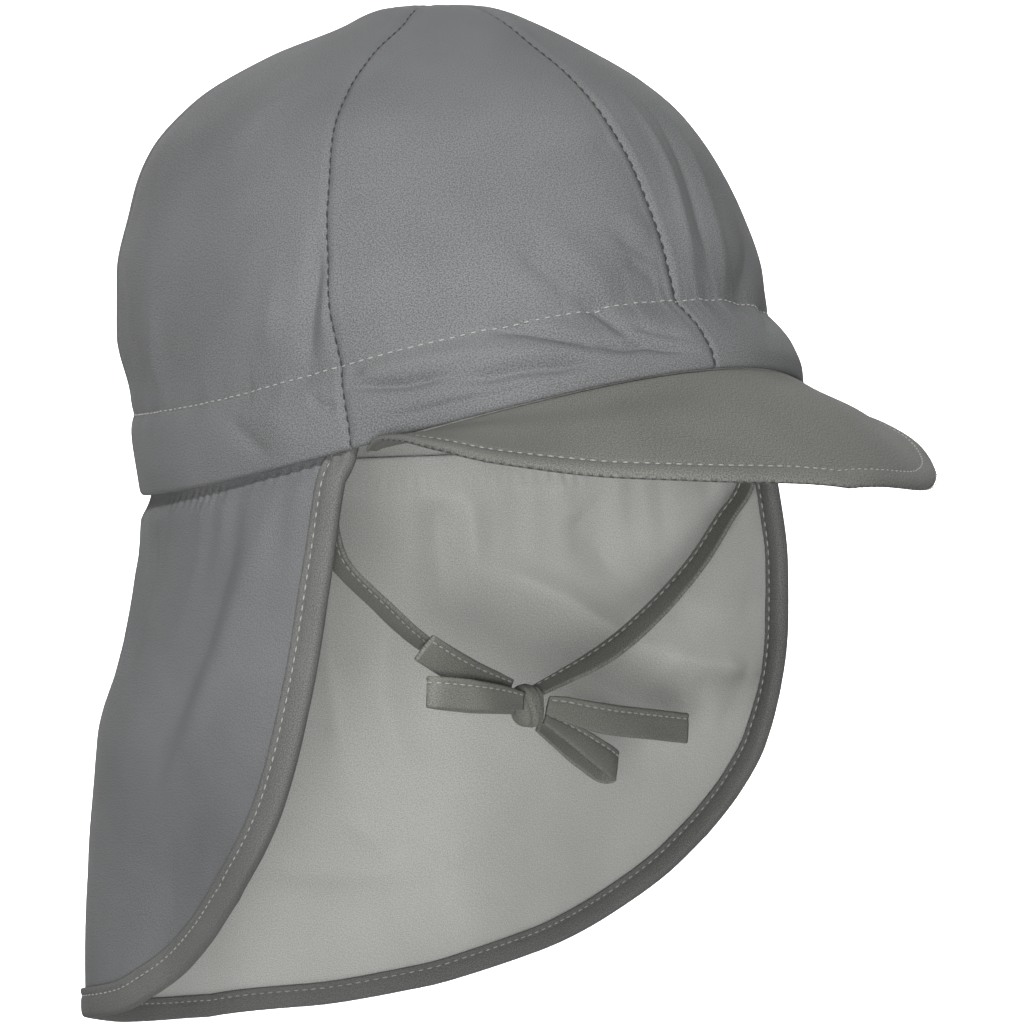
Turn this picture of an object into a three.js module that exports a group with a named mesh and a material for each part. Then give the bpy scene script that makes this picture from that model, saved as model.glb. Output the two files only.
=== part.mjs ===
// A baby's sun cap with a neck flap and chin ties, in millimetres, +Z up, the brim towards -Y.
// The origin is the centre of the head opening, at the mean height of the hem.
// Angles run from the front towards the wearer's right side (-X), in degrees.
import * as THREE from "three";

// The crown's hem: an ellipse whose front is higher than its back and whose sides dip a little.
const HEAD_WIDTH = 146;
const HEAD_LENGTH = 176;
const HEM_TILT_RISE = 18.3;
const HEM_SIDE_DIP = 4.2;

// The crown's top point, and the setback of it from the middle of the opening.
const CROWN_HEIGHT = 107;
const CROWN_TOP_BACK = 13;

// Cloth and sewing.
const CLOTH = 1.0;
const CASING_CLOTH = 1.7;
const CASING_HEIGHT = 19.3;
const CASING_FRONT_LESS = 3.6;
const HEM_PLAIN = 2;
const HEM_BLEND = 8;
const SEAM_GAP = 0.35;
const SEAM_DIP = 0.5;
const SEAM_DIP_WIDTH = 3.5;
const STITCH_DIP = 0.55;
const STITCH_DIP_WIDTH = 2.2;
const PANEL_TOP_SHARE = 0.9985;

// The crown's panels, each between two seams at the hem.
const CROWN_PANELS = [
  { name: "crown_front_right", from: 2, to: 67 },
  { name: "crown_side_right", from: 67, to: 134 },
  { name: "crown_back", from: 134, to: 226 },
  { name: "crown_side_left", from: 226, to: 293 },
  { name: "crown_front_left", from: 293, to: 362 },
];

// The crown's outline from the side: half lengths, as shares of the hem's, at each share of the height.
const CROWN_SECTIONS = [
  { height: 0, front: 1, back: 1 },
  { height: 0.04, front: 0.997, back: 1.015 },
  { height: 0.1, front: 0.965, back: 1.035 },
  { height: 0.2, front: 0.88, back: 1.06 },
  { height: 0.32, front: 0.855, back: 1.105 },
  { height: 0.45, front: 0.81, back: 1.1 },
  { height: 0.58, front: 0.745, back: 1.045 },
  { height: 0.7, front: 0.655, back: 0.97 },
  { height: 0.8, front: 0.54, back: 0.81 },
  { height: 0.89, front: 0.395, back: 0.545 },
  { height: 0.95, front: 0.29, back: 0.28 },
  { height: 0.985, front: 0.18, back: 0.16 },
  { height: 1, front: 0, back: 0 },
];

// Soft folds of the crown. Each runs between two places, given by angle and by the share of the crown's
// height above the hem. Its width and its lift are shares of the two sizes here.
const CROWN_FOLD_WIDTH = 6;
const CROWN_FOLD_LIFT = 1.2;
const CROWN_FOLDS = [
  { name: "casing_crease", a1: 66, h1: 0.15, a2: 50, h2: 0.103, width: 0.57, lift: -0.83 },
  { name: "casing_crease_end", a1: 50, h1: 0.103, a2: 27, h2: 0.047, width: 0.57, lift: -0.75 },
  { name: "stitch_crease", a1: 36, h1: 0.168, a2: 22, h2: 0.084, width: 0.57, lift: -0.83 },
  { name: "stitch_crease_end", a1: 22, h1: 0.084, a2: 6, h2: 0.047, width: 0.57, lift: -0.67 },
  { name: "front_diagonal", a1: 30, h1: 0.29, a2: 18, h2: 0.121, width: 0.67, lift: -1.08 },
  { name: "front_diagonal_end", a1: 18, h1: 0.121, a2: 8, h2: 0.037, width: 0.57, lift: -0.67 },
  { name: "seam_pucker", a1: 10, h1: 0.28, a2: 6, h2: 0.224, width: 0.57, lift: -0.67 },
  { name: "seam_pucker_high", a1: 9, h1: 0.458, a2: 3, h2: 0.458, width: 0.57, lift: -0.5 },
  { name: "side_dent", a1: 70, h1: 0.458, a2: 76, h2: 0.234, width: 0.83, lift: -1.25 },
  { name: "side_ridge", a1: 69, h1: 0.336, a2: 69, h2: 0.206, width: 0.57, lift: 0.58 },
  { name: "seam_crease", a1: 65, h1: 0.523, a2: 56, h2: 0.505, width: 0.57, lift: -0.5 },
  { name: "casing_fold", a1: 92, h1: 0.14, a2: 81, h2: 0.009, width: 0.57, lift: -0.75 },
  { name: "front_arc", a1: 53, h1: 0.206, a2: 46, h2: 0.262, width: 0.67, lift: 0.5 },
  { name: "front_arc_end", a1: 46, h1: 0.262, a2: 38, h2: 0.252, width: 0.67, lift: 0.5 },
  { name: "back_ridge", a1: 109, h1: 0.411, a2: 110, h2: 0.243, width: 0.83, lift: 0.92 },
  { name: "back_hollow", a1: 128, h1: 0.467, a2: 126, h2: 0.243, width: 0.83, lift: -1 },
  { name: "rear_ridge", a1: 150, h1: 0.523, a2: 154, h2: 0.224, width: 1.17, lift: 1 },
  { name: "rear_hollow", a1: 182, h1: 0.561, a2: 180, h2: 0.224, width: 1.33, lift: -1 },
  { name: "left_ridge", a1: 214, h1: 0.505, a2: 208, h2: 0.243, width: 1.17, lift: 1 },
  { name: "left_dent", a1: 286, h1: 0.439, a2: 284, h2: 0.224, width: 1, lift: -1.08 },
  { name: "left_diagonal", a1: 328, h1: 0.308, a2: 346, h2: 0.112, width: 0.83, lift: -0.92 },
  { name: "front_left_ridge", a1: 340, h1: 0.355, a2: 348, h2: 0.168, width: 0.83, lift: 0.75 },
];

// The brim: a stiffened crescent under the front of the hem.
const BRIM_REACH = 40;
const BRIM_DROP = 23;
const BRIM_THICKNESS = 2;
const BRIM_ROOT_THICKNESS = 1.3;
const BRIM_SWELL = 1.2;
const BRIM_CORNER_DROOP = 5.9;
const BRIM_DROOP_ANGLE = -24;
const BRIM_DROOP_SPREAD = 17;
const BRIM_ROOT_ANGLE = 14;
const BRIM_GAP = 0.4;
const BRIM_OUTLINE = [
  { angle: 0, reach: 1, drop: 0.98 },
  { angle: 16, reach: 0.955, drop: 0.854 },
  { angle: 28, reach: 0.893, drop: 0.691 },
  { angle: 36, reach: 0.815, drop: 0.542 },
  { angle: 44, reach: 0.692, drop: 0.34 },
  { angle: 52, reach: 0.504, drop: 0.1 },
  { angle: 57, reach: 0.335, drop: -0.03 },
  { angle: 61, reach: 0.18, drop: -0.07 },
  { angle: 64, reach: 0.03, drop: 0 },
];

// The neck flap: its free edge, by angle and by millimetres below the hem.
const FLAP_START_ANGLE = 67;
const FLAP_LENGTH = 138;
const FLAP_CORNER_ANGLE = 87.4;
const FLAP_TUCK = 5;
const FLAP_INSET = 2.6;
const FLAP_TUCK_RELEASE = 6;
const FLAP_FOLD_BLEND = 14;
const FLAP_FRONT_EDGE = [
  { down: 0, right: 0, left: 0 },
  { down: 0.11, right: 1.9, left: 1 },
  { down: 0.29, right: 2.9, left: 1.5 },
  { down: 0.52, right: 4.8, left: 3.3 },
  { down: 0.67, right: 7, left: 5.6 },
  { down: 0.81, right: 10.4, left: 9.5 },
  { down: 0.9, right: 14.3, left: 14.3 },
  { down: 1, right: 20.8, left: 21.1 },
];
const FLAP_BOTTOM_EDGE = [
  { angle: 87.4, right: 0.715, left: 0.708 },
  { angle: 95, right: 0.773, left: 0.774 },
  { angle: 104, right: 0.824, left: 0.828 },
  { angle: 112, right: 0.865, left: 0.868 },
  { angle: 120, right: 0.9, left: 0.904 },
  { angle: 140, right: 0.94, left: 0.976 },
  { angle: 160, right: 0.98, left: 1 },
  { angle: 180, right: 1, left: 1 },
];

// How far the flap stands out from the hem's line, as a share of the hem's half size, going down.
const FLAP_FLARE_ANGLES = [67, 85, 104, 120, 135, 180];
const FLAP_FLARE = [
  { down: 0, shares: [0, 0, 0, 0, 0, 0] },
  { down: 0.11, shares: [0.055, 0.03, 0.01, 0.01, 0.015, 0.01] },
  { down: 0.25, shares: [0.105, 0.075, 0.04, 0.045, 0.06, 0.03] },
  { down: 0.43, shares: [0.127, 0.11, 0.07, 0.11, 0.158, 0.08] },
  { down: 0.65, shares: [0.125, 0.09, 0.05, 0.12, 0.185, 0.12] },
  { down: 0.87, shares: [0.1, 0.05, 0.022, 0.1, 0.187, 0.145] },
  { down: 1.09, shares: [0.1, 0.035, 0.03, 0.11, 0.172, 0.165] },
];

// Soft folds of the flap, given by angle and by the share of the flap's length below the hem.
const FLAP_FOLD_WIDTH = 9;
const FLAP_FOLD_LIFT = 2;
const FLAP_FOLDS = [
  { name: "front_fold", a1: 80, h1: 0.058, a2: 104, h2: 0.688, width: 1.11, lift: 0.75 },
  { name: "front_hollow", a1: 92, h1: 0.072, a2: 118, h2: 0.725, width: 1.11, lift: -0.65 },
  { name: "side_fold", a1: 116, h1: 0.029, a2: 124, h2: 0.362, width: 0.78, lift: 0.7 },
  { name: "side_hollow", a1: 130, h1: 0.072, a2: 136, h2: 0.652, width: 0.89, lift: -0.7 },
  { name: "back_fold", a1: 150, h1: 0.036, a2: 152, h2: 0.87, width: 1, lift: 1 },
  { name: "middle_hollow", a1: 168, h1: 0.072, a2: 170, h2: 0.942, width: 1, lift: -1 },
  { name: "middle_fold", a1: 188, h1: 0.036, a2: 186, h2: 0.942, width: 1, lift: 0.9 },
  { name: "left_bulge", a1: 205, h1: 0.275, a2: 212, h2: 0.609, width: 0.89, lift: -1 },
  { name: "left_fold", a1: 221, h1: 0.043, a2: 220, h2: 0.304, width: 0.78, lift: 0.8 },
  { name: "left_low_fold", a1: 224, h1: 0.609, a2: 222, h2: 0.884, width: 1, lift: 0.7 },
  { name: "far_bulge", a1: 228, h1: 0.109, a2: 250, h2: 0.203, width: 0.78, lift: -1.2 },
  { name: "far_bulge_end", a1: 250, h1: 0.203, a2: 280, h2: 0.333, width: 0.78, lift: -1 },
  { name: "far_fold", a1: 236, h1: 0.261, a2: 264, h2: 0.42, width: 0.89, lift: 0.7 },
];
const GATHER_HEIGHT = 0.45;
const GATHER_DEPTH = 16;
const GATHER_START = 4;
const GATHER_ANGLE = 7.5;

// The tape folded over the flap's free edge.
const BINDING_OUTSIDE = 6.3;
const BINDING_INSIDE = 5;
const BINDING_CLOTH = 1;
const BINDING_GAP = 0.55;

// The ties: flat sewn tapes along hand-placed points, from inside the hem to the bow.
const TAPE_WIDTH = 7.5;
const TAPE_THICKNESS = 1.2;
const TIE_RIGHT = [
  { name: "hem", at: [-63.9, -24, 4] },
  { name: "below_hem", at: [-65.4, -24, -8] },
  { name: "out_of_flap", at: [-62.6, -23.6, -20.8] },
  { name: "upper_sag", at: [-48.4, -22.3, -33.1] },
  { name: "middle_sag", at: [-32.1, -19.8, -44.1] },
  { name: "lower_sag", at: [-17.6, -19.2, -50.9], width: 0.9 },
  { name: "knot_side", at: [-7.2, -20.6, -56.4], width: 0.6 },
];
const TIE_LEFT = [
  { name: "hem", at: [63.7, -29.6, 4] },
  { name: "below_brim", at: [64, -31, -10.8] },
  { name: "upper_sag", at: [57.1, -30.5, -19.4] },
  { name: "side_sag", at: [49.7, -30, -27.8] },
  { name: "middle_sag", at: [43.1, -29, -34.4] },
  { name: "inner_sag", at: [35.2, -27.5, -41.2] },
  { name: "lower_sag", at: [20.3, -25, -50.7], width: 0.95 },
  { name: "knot_side", at: [2.6, -22.4, -57.6], width: 0.6 },
];

// The bow under the chin: a knot, two loops and two cut ends. A row's width is a share of the tape's.
const KNOT_SIZE = [8.6, 7.4, 10.2];
const KNOT_AT = [-3.4, -24.9, -60.8];
const LOOP_RIGHT = [
  { name: "out_upper", at: [-7.9, -27.8, -59], width: 0.6 },
  { name: "near_knot", at: [-16.7, -29.6, -57.4], width: 0.85 },
  { name: "upper_mid", at: [-28.1, -30.6, -55.7] },
  { name: "upper_end", at: [-36.6, -30, -54.5] },
  { name: "turn", at: [-38.2, -28.5, -54.4] },
  { name: "lower_end", at: [-34, -27.2, -55.3] },
  { name: "lower_mid", at: [-24.3, -27.2, -57.1], width: 0.95 },
  { name: "back_in", at: [-8.2, -25.7, -60.2], width: 0.6 },
];
const LOOP_LEFT = [
  { name: "out_upper", at: [1.6, -25.8, -64.2], width: 0.4 },
  { name: "near_knot", at: [5.5, -26.2, -66.2], width: 0.55 },
  { name: "upper_mid", at: [15.1, -26.6, -71.7], width: 0.85 },
  { name: "corner", at: [23.7, -25.6, -76.5] },
  { name: "turn", at: [26.8, -23.6, -78.3] },
  { name: "tip", at: [25.2, -21.6, -78.9] },
  { name: "lower_mid", at: [17.6, -21, -74.9], width: 0.85 },
  { name: "back_in", at: [2.4, -22.4, -66.4], width: 0.4 },
];
const END_RIGHT = [
  { name: "leaves_knot", at: [-7.9, -23.7, -56.3], width: 0.6 },
  { name: "near_knot", at: [-12.8, -24.3, -55], width: 0.8 },
  { name: "middle", at: [-24, -24.7, -50.9] },
  { name: "cut_end", at: [-36.5, -25, -44.3] },
];
const END_LEFT = [
  { name: "leaves_knot", at: [1, -27.2, -60.8], width: 0.6 },
  { name: "near_knot", at: [5, -28.6, -61.9], width: 0.8 },
  { name: "middle", at: [16, -30.4, -64.9] },
  { name: "lower", at: [33.7, -29.4, -68] },
  { name: "cut_end", at: [46.6, -28.2, -70.1] },
];

// How finely each piece is cut into facets.
const PANEL_COLUMNS = 11;
const PANEL_UPPER_SHARES = [0.12, 0.26, 0.4, 0.54, 0.67, 0.78, 0.87, 0.935, 0.972, 1];
const CASING_ROWS = 3;
const BRIM_COLUMNS = 30;
const BRIM_ROWS = 5;
const FLAP_COLUMNS = 60;
const FLAP_ROW_SHARES = [0, 0.045, 0.085, 0.14, 0.2, 0.28, 0.37, 0.47, 0.57, 0.67, 0.77, 0.87, 0.94, 1];
const TAPE_STEP = 3.2;

const MATERIALS = {
  cloth: new THREE.MeshStandardMaterial({ color: 0x7d7e7e, roughness: 0.78, metalness: 0 }),
  brim: new THREE.MeshStandardMaterial({ color: 0x7b7c78, roughness: 0.78, metalness: 0 }),
  tape: new THREE.MeshStandardMaterial({ color: 0x7e7d79, roughness: 0.8, metalness: 0 }),
};

const rad = (deg) => (deg * Math.PI) / 180;
const clamp = (x, low, high) => Math.min(high, Math.max(low, x));
const ease = (x) => {
  const t = clamp(x, 0, 1);
  return t * t * (3 - 2 * t);
};
const mix = (a, b, t) => a + (b - a) * t;

// A smooth curve through a table's rows that never overshoots them.
function through(rows, key, value, at) {
  const xs = rows.map((row) => row[key]);
  const ys = rows.map((row) => (typeof value === "function" ? value(row) : row[value]));
  const last = xs.length - 1;
  if (at <= xs[0]) return ys[0];
  if (at >= xs[last]) return ys[last];
  const slopes = xs.slice(1).map((x, i) => (ys[i + 1] - ys[i]) / (x - xs[i]));
  const tangent = (i) => {
    if (i === 0) return slopes[0];
    if (i === last) return slopes[last - 1];
    const before = slopes[i - 1];
    const after = slopes[i];
    return before * after <= 0 ? 0 : (2 * before * after) / (before + after);
  };
  const i = xs.findIndex((x, k) => k < last && at < xs[k + 1]);
  const span = xs[i + 1] - xs[i];
  const t = (at - xs[i]) / span;
  const t2 = t * t;
  const t3 = t2 * t;
  return (
    (2 * t3 - 3 * t2 + 1) * ys[i] +
    (t3 - 2 * t2 + t) * span * tangent(i) +
    (3 * t2 - 2 * t3) * ys[i + 1] +
    (t3 - t2) * span * tangent(i + 1)
  );
}

// The height of the hem at an angle.
function hemHeight(angle) {
  return HEM_TILT_RISE * Math.cos(rad(angle)) + HEM_SIDE_DIP * Math.cos(2 * rad(angle));
}

// A point of the hem's ellipse, scaled outwards in plan by a share.
function hemPlan(angle, scale) {
  const x = -(HEAD_WIDTH / 2) * scale * Math.sin(rad(angle));
  const y = -(HEAD_LENGTH / 2) * scale * Math.cos(rad(angle));
  return [x, y];
}

// The lift of a table of folds at a place, in millimetres, with angles turned into arc length. The
// size gives the length of which the heights are shares, and what the widths and lifts are shares of.
function foldLift(folds, size, angle, height) {
  const arc = rad(1) * (HEAD_WIDTH + HEAD_LENGTH) * 0.25;
  let lift = 0;
  for (const fold of folds) {
    const dx = (fold.a2 - fold.a1) * arc;
    const dy = (fold.h2 - fold.h1) * size.length;
    const px = (angle - fold.a1) * arc;
    const py = height - fold.h1 * size.length;
    const t = clamp((px * dx + py * dy) / (dx * dx + dy * dy), 0, 1);
    const away = Math.hypot(px - dx * t, py - dy * t) / (fold.width * size.width);
    lift += fold.lift * size.lift * Math.exp(-away * away);
  }
  return lift;
}

const CROWN_FOLD_SIZE = { length: CROWN_HEIGHT, width: CROWN_FOLD_WIDTH, lift: CROWN_FOLD_LIFT };
const FLAP_FOLD_SIZE = { length: FLAP_LENGTH, width: FLAP_FOLD_WIDTH, lift: FLAP_FOLD_LIFT };

// The height of the casing's stitch line above the hem.
function casingRise(angle) {
  const facing = Math.max(Math.cos(rad(angle)), 0);
  return CASING_HEIGHT - CASING_FRONT_LESS * facing * facing;
}

// The crown's plain shape at an angle and a share of the height.
function crownShape(angle, share) {
  const front = through(CROWN_SECTIONS, "height", "front", share);
  const back = through(CROWN_SECTIONS, "height", "back", share);
  const c = Math.cos(rad(angle));
  const x = -(HEAD_WIDTH / 2) * ((front + back) / 2) * Math.sin(rad(angle));
  const y = -(HEAD_LENGTH / 2) * (c > 0 ? front : back) * c + CROWN_TOP_BACK * share;
  const z = mix(hemHeight(angle), CROWN_HEIGHT, share);
  return new THREE.Vector3(x, y, z);
}

// The outward normal of a surface given by a function of two parameters.
function normalOf(surface, a, b, stepA, stepB) {
  const du = surface(a + stepA, b).sub(surface(a - stepA, b));
  const dv = surface(a, b + stepB).sub(surface(a, b - stepB));
  return dv.cross(du).normalize();
}

// What the folds, the stitch line and the seams add to the crown's plain shape, in millimetres.
function crownLift(angle, share) {
  const rise = (CROWN_HEIGHT - hemHeight(angle)) * share;
  const fade = 1 - ease((share - 0.7) / 0.25);
  const stitch = (rise - casingRise(angle)) / STITCH_DIP_WIDTH;
  const centre = new THREE.Vector3(0, CROWN_TOP_BACK * share, 0);
  const radius = crownShape(angle, share).setZ(0).distanceTo(centre);
  const free = fade * ease((rise - HEM_PLAIN) / HEM_BLEND);
  let lift = foldLift(CROWN_FOLDS, CROWN_FOLD_SIZE, angle, rise) * free;
  lift -= STITCH_DIP * Math.exp(-stitch * stitch);
  for (const panel of CROWN_PANELS) {
    const turn = Math.abs(((angle - panel.from + 540) % 360) - 180);
    const away = (rad(turn) * radius) / SEAM_DIP_WIDTH;
    lift -= SEAM_DIP * Math.exp(-away * away) * ease(rise / HEM_BLEND);
  }
  return lift;
}

// The crown's outer face, moved along its normal by an offset.
function crownPoint(angle, share, offset) {
  const low = clamp(share, 0.004, 0.985);
  const rise = (CROWN_HEIGHT - hemHeight(angle)) * share;
  const normal = normalOf(crownShape, angle, low, 0.5, 0.004);
  normal.z *= ease(rise / HEM_BLEND);
  normal.normalize().lerp(new THREE.Vector3(0, 0, 1), ease((share - 0.955) / 0.035)).normalize();
  return crownShape(angle, share).addScaledVector(normal, crownLift(angle, share) + offset);
}

// Where the brim's top face lies: from the hem (0) to the outer edge (1).
function brimPoint(angle, out) {
  const turn = Math.abs(angle);
  const reach = (BRIM_REACH / (HEAD_LENGTH / 2)) * through(BRIM_OUTLINE, "angle", "reach", turn);
  const drop = BRIM_DROP * through(BRIM_OUTLINE, "angle", "drop", turn);
  const root = 1 - CASING_CLOTH / (HEAD_WIDTH / 2);
  const [x, y] = hemPlan(angle, mix(root, 1 + reach, out));
  const droop = BRIM_CORNER_DROOP * Math.exp(-(((angle - BRIM_DROOP_ANGLE) / BRIM_DROOP_SPREAD) ** 2));
  const free = ease((out - 0.15) / 0.35) * (1 - out);
  const swell = BRIM_SWELL * 2 * free * through(BRIM_OUTLINE, "angle", "reach", turn);
  const clear = clamp((mix(root, 1 + reach, out) - 1) / reach, 0, 1);
  const z = hemHeight(angle) - BRIM_GAP - drop * clear - droop * clear * clear + swell;
  return new THREE.Vector3(x, y, z);
}

// The flap's half at one side: across (0 at the front edge, 1 at the middle of the back) and down.
function flapPlace(across, down, hand) {
  const front = FLAP_START_ANGLE + through(FLAP_FRONT_EDGE, "down", hand, down);
  const bottom = mix(FLAP_CORNER_ANGLE, 180, across);
  const length = FLAP_LENGTH * through(FLAP_BOTTOM_EDGE, "angle", hand, bottom);
  return { angle: mix(front, 180, across), depth: mix(-FLAP_TUCK, length, down) };
}

function flapFlare(angle, depth) {
  const turn = angle > 180 ? 360 - angle : angle;
  const down = depth / FLAP_LENGTH;
  const columns = FLAP_FLARE_ANGLES.map((at, k) => ({
    at,
    share: through(FLAP_FLARE, "down", (row) => row.shares[k], down),
  }));
  return through(columns, "at", "share", turn);
}

// The flap's outer face at an angle and a depth below the hem, moved out along the normal in plan.
function flapSurface(angle, depth, offset = 0) {
  const tuck = FLAP_INSET * (1 - 0.65 * ease((depth - CLOTH / 2) / FLAP_TUCK_RELEASE));
  const free = ease((depth - HEM_PLAIN) / FLAP_FOLD_BLEND);
  const folds = foldLift(FLAP_FOLDS, FLAP_FOLD_SIZE, angle, depth) * free;
  const gather = GATHER_HEIGHT * Math.cos((2 * Math.PI * (angle - 180)) / GATHER_ANGLE);
  const gathers = gather * ease((depth - CLOTH) / GATHER_START) * (1 - ease(depth / GATHER_DEPTH));
  const [x, y] = hemPlan(angle, 1 + flapFlare(angle, depth));
  const out = new THREE.Vector2(x / HEAD_WIDTH ** 2, y / HEAD_LENGTH ** 2).normalize();
  const above = clamp(-depth / (CROWN_HEIGHT - hemHeight(angle)), 0, 1);
  const push = offset + folds + gathers - tuck + Math.min(crownLift(angle, above), 0);
  return new THREE.Vector3(x + out.x * push, y + out.y * push, hemHeight(angle) - depth);
}

// A place of the flap: side runs from -1 (left front edge) over 0 (middle of the back) to 1.
function flapAt(side, down) {
  const place = flapPlace(1 - Math.abs(side), down, side < 0 ? "left" : "right");
  return { angle: side < 0 ? 360 - place.angle : place.angle, depth: place.depth };
}

// A sheet with thickness from two grids of points of the same size, the outer one and the inner one.
function sheetSolid(outer, inner) {
  const rows = outer.length;
  const columns = outer[0].length;
  const positions = [];
  for (const grid of [outer, inner]) {
    for (const row of grid) {
      for (const p of row) positions.push(p.x, p.y, p.z);
    }
  }
  const at = (layer, r, c) => layer * rows * columns + r * columns + c;
  const index = [];
  const quad = (a, b, c, d) => index.push(a, b, c, a, c, d);
  for (let r = 0; r + 1 < rows; r++) {
    for (let c = 0; c + 1 < columns; c++) {
      quad(at(0, r, c), at(0, r, c + 1), at(0, r + 1, c + 1), at(0, r + 1, c));
      quad(at(1, r, c), at(1, r + 1, c), at(1, r + 1, c + 1), at(1, r, c + 1));
    }
    quad(at(0, r, 0), at(0, r + 1, 0), at(1, r + 1, 0), at(1, r, 0));
    quad(at(0, r, columns - 1), at(1, r, columns - 1), at(1, r + 1, columns - 1), at(0, r + 1, columns - 1));
  }
  for (let c = 0; c + 1 < columns; c++) {
    quad(at(0, 0, c), at(1, 0, c), at(1, 0, c + 1), at(0, 0, c + 1));
    quad(at(0, rows - 1, c), at(0, rows - 1, c + 1), at(1, rows - 1, c + 1), at(1, rows - 1, c));
  }
  return facingOut(positions, index);
}

// A geometry whose faces are turned so that its volume is positive.
function facingOut(positions, index) {
  let volume = 0;
  const p = (i) => new THREE.Vector3(positions[3 * i], positions[3 * i + 1], positions[3 * i + 2]);
  for (let i = 0; i < index.length; i += 3) {
    volume += p(index[i]).dot(p(index[i + 1]).cross(p(index[i + 2])));
  }
  const faces = volume < 0 ? index.slice().reverse() : index;
  const geometry = new THREE.BufferGeometry();
  geometry.setAttribute("position", new THREE.Float32BufferAttribute(positions, 3));
  geometry.setIndex(faces);
  const flat = geometry.toNonIndexed();
  flat.computeVertexNormals();
  return flat;
}

// One panel of the crown, doubled inside from the hem up to the casing's stitch line.
function crownPanel(panel) {
  const rows = [];
  for (let i = 0; i <= CASING_ROWS; i++) rows.push({ casing: i / CASING_ROWS, cloth: CASING_CLOTH });
  rows.push({ above: 0, cloth: CLOTH });
  for (const above of PANEL_UPPER_SHARES) rows.push({ above, cloth: CLOTH });
  const layers = rows.map((row) => {
    const outer = [];
    const inner = [];
    for (let c = 0; c <= PANEL_COLUMNS; c++) {
      const t = c / PANEL_COLUMNS;
      const middle = mix(panel.from, panel.to, t);
      const rise = CROWN_HEIGHT - hemHeight(middle);
      const stitch = casingRise(middle) / rise;
      const step = 0.6 / rise;
      const share =
        row.above === undefined ? row.casing * stitch : mix(stitch + step, PANEL_TOP_SHARE, row.above);
      const here = crownShape(middle, share);
      const next = crownShape(middle + 0.5, share);
      const trim = Math.min((SEAM_GAP / 2 / here.distanceTo(next)) * 0.5, (panel.to - panel.from) * 0.4);
      const angle = mix(panel.from + trim, panel.to - trim, t);
      outer.push(crownPoint(angle, share, 0));
      inner.push(crownPoint(angle, share, -row.cloth));
    }
    return { outer, inner };
  });
  return sheetSolid(
    layers.map((layer) => layer.outer),
    layers.map((layer) => layer.inner),
  );
}

function brimSolid() {
  const end = BRIM_OUTLINE[BRIM_OUTLINE.length - 1].angle;
  const top = [];
  const under = [];
  for (let r = 0; r <= BRIM_ROWS; r++) {
    const out = r / BRIM_ROWS;
    const upper = [];
    const lower = [];
    for (let c = 0; c <= BRIM_COLUMNS; c++) {
      const t = (2 * c) / BRIM_COLUMNS - 1;
      const angle = end * Math.sign(t) * (1 - (1 - Math.abs(t)) ** 1.25);
      const p = brimPoint(angle, out);
      const whole = mix(BRIM_ROOT_THICKNESS, BRIM_THICKNESS, ease((end - Math.abs(angle)) / BRIM_ROOT_ANGLE));
      const rounding = out < 1 ? 0 : whole * 0.15;
      upper.push(p.clone().setZ(p.z - rounding));
      lower.push(p.clone().setZ(p.z - whole + rounding));
    }
    top.push(upper);
    under.push(lower);
  }
  return sheetSolid(top, under);
}

function flapSolid() {
  const outer = [];
  const inner = [];
  for (const down of FLAP_ROW_SHARES) {
    const outerRow = [];
    const innerRow = [];
    for (let c = 0; c <= FLAP_COLUMNS; c++) {
      const side = (2 * c) / FLAP_COLUMNS - 1;
      const { angle, depth } = flapAt(side, down);
      outerRow.push(flapSurface(angle, depth));
      innerRow.push(flapSurface(angle, depth, -CLOTH));
    }
    outer.push(outerRow);
    inner.push(innerRow);
  }
  return sheetSolid(outer, inner);
}

// The stations of the flap's free edge, down one front edge, along the bottom and up the other.
function flapEdge() {
  const sides = FLAP_ROW_SHARES.slice(3, -1);
  const left = sides.map((down) => [-1, down]);
  const right = sides.map((down) => [1, down]).reverse();
  const bottom = [];
  for (let c = 0; c <= FLAP_COLUMNS; c++) bottom.push([(2 * c) / FLAP_COLUMNS - 1, 1]);
  return [...left, ...bottom, ...right];
}

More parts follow.
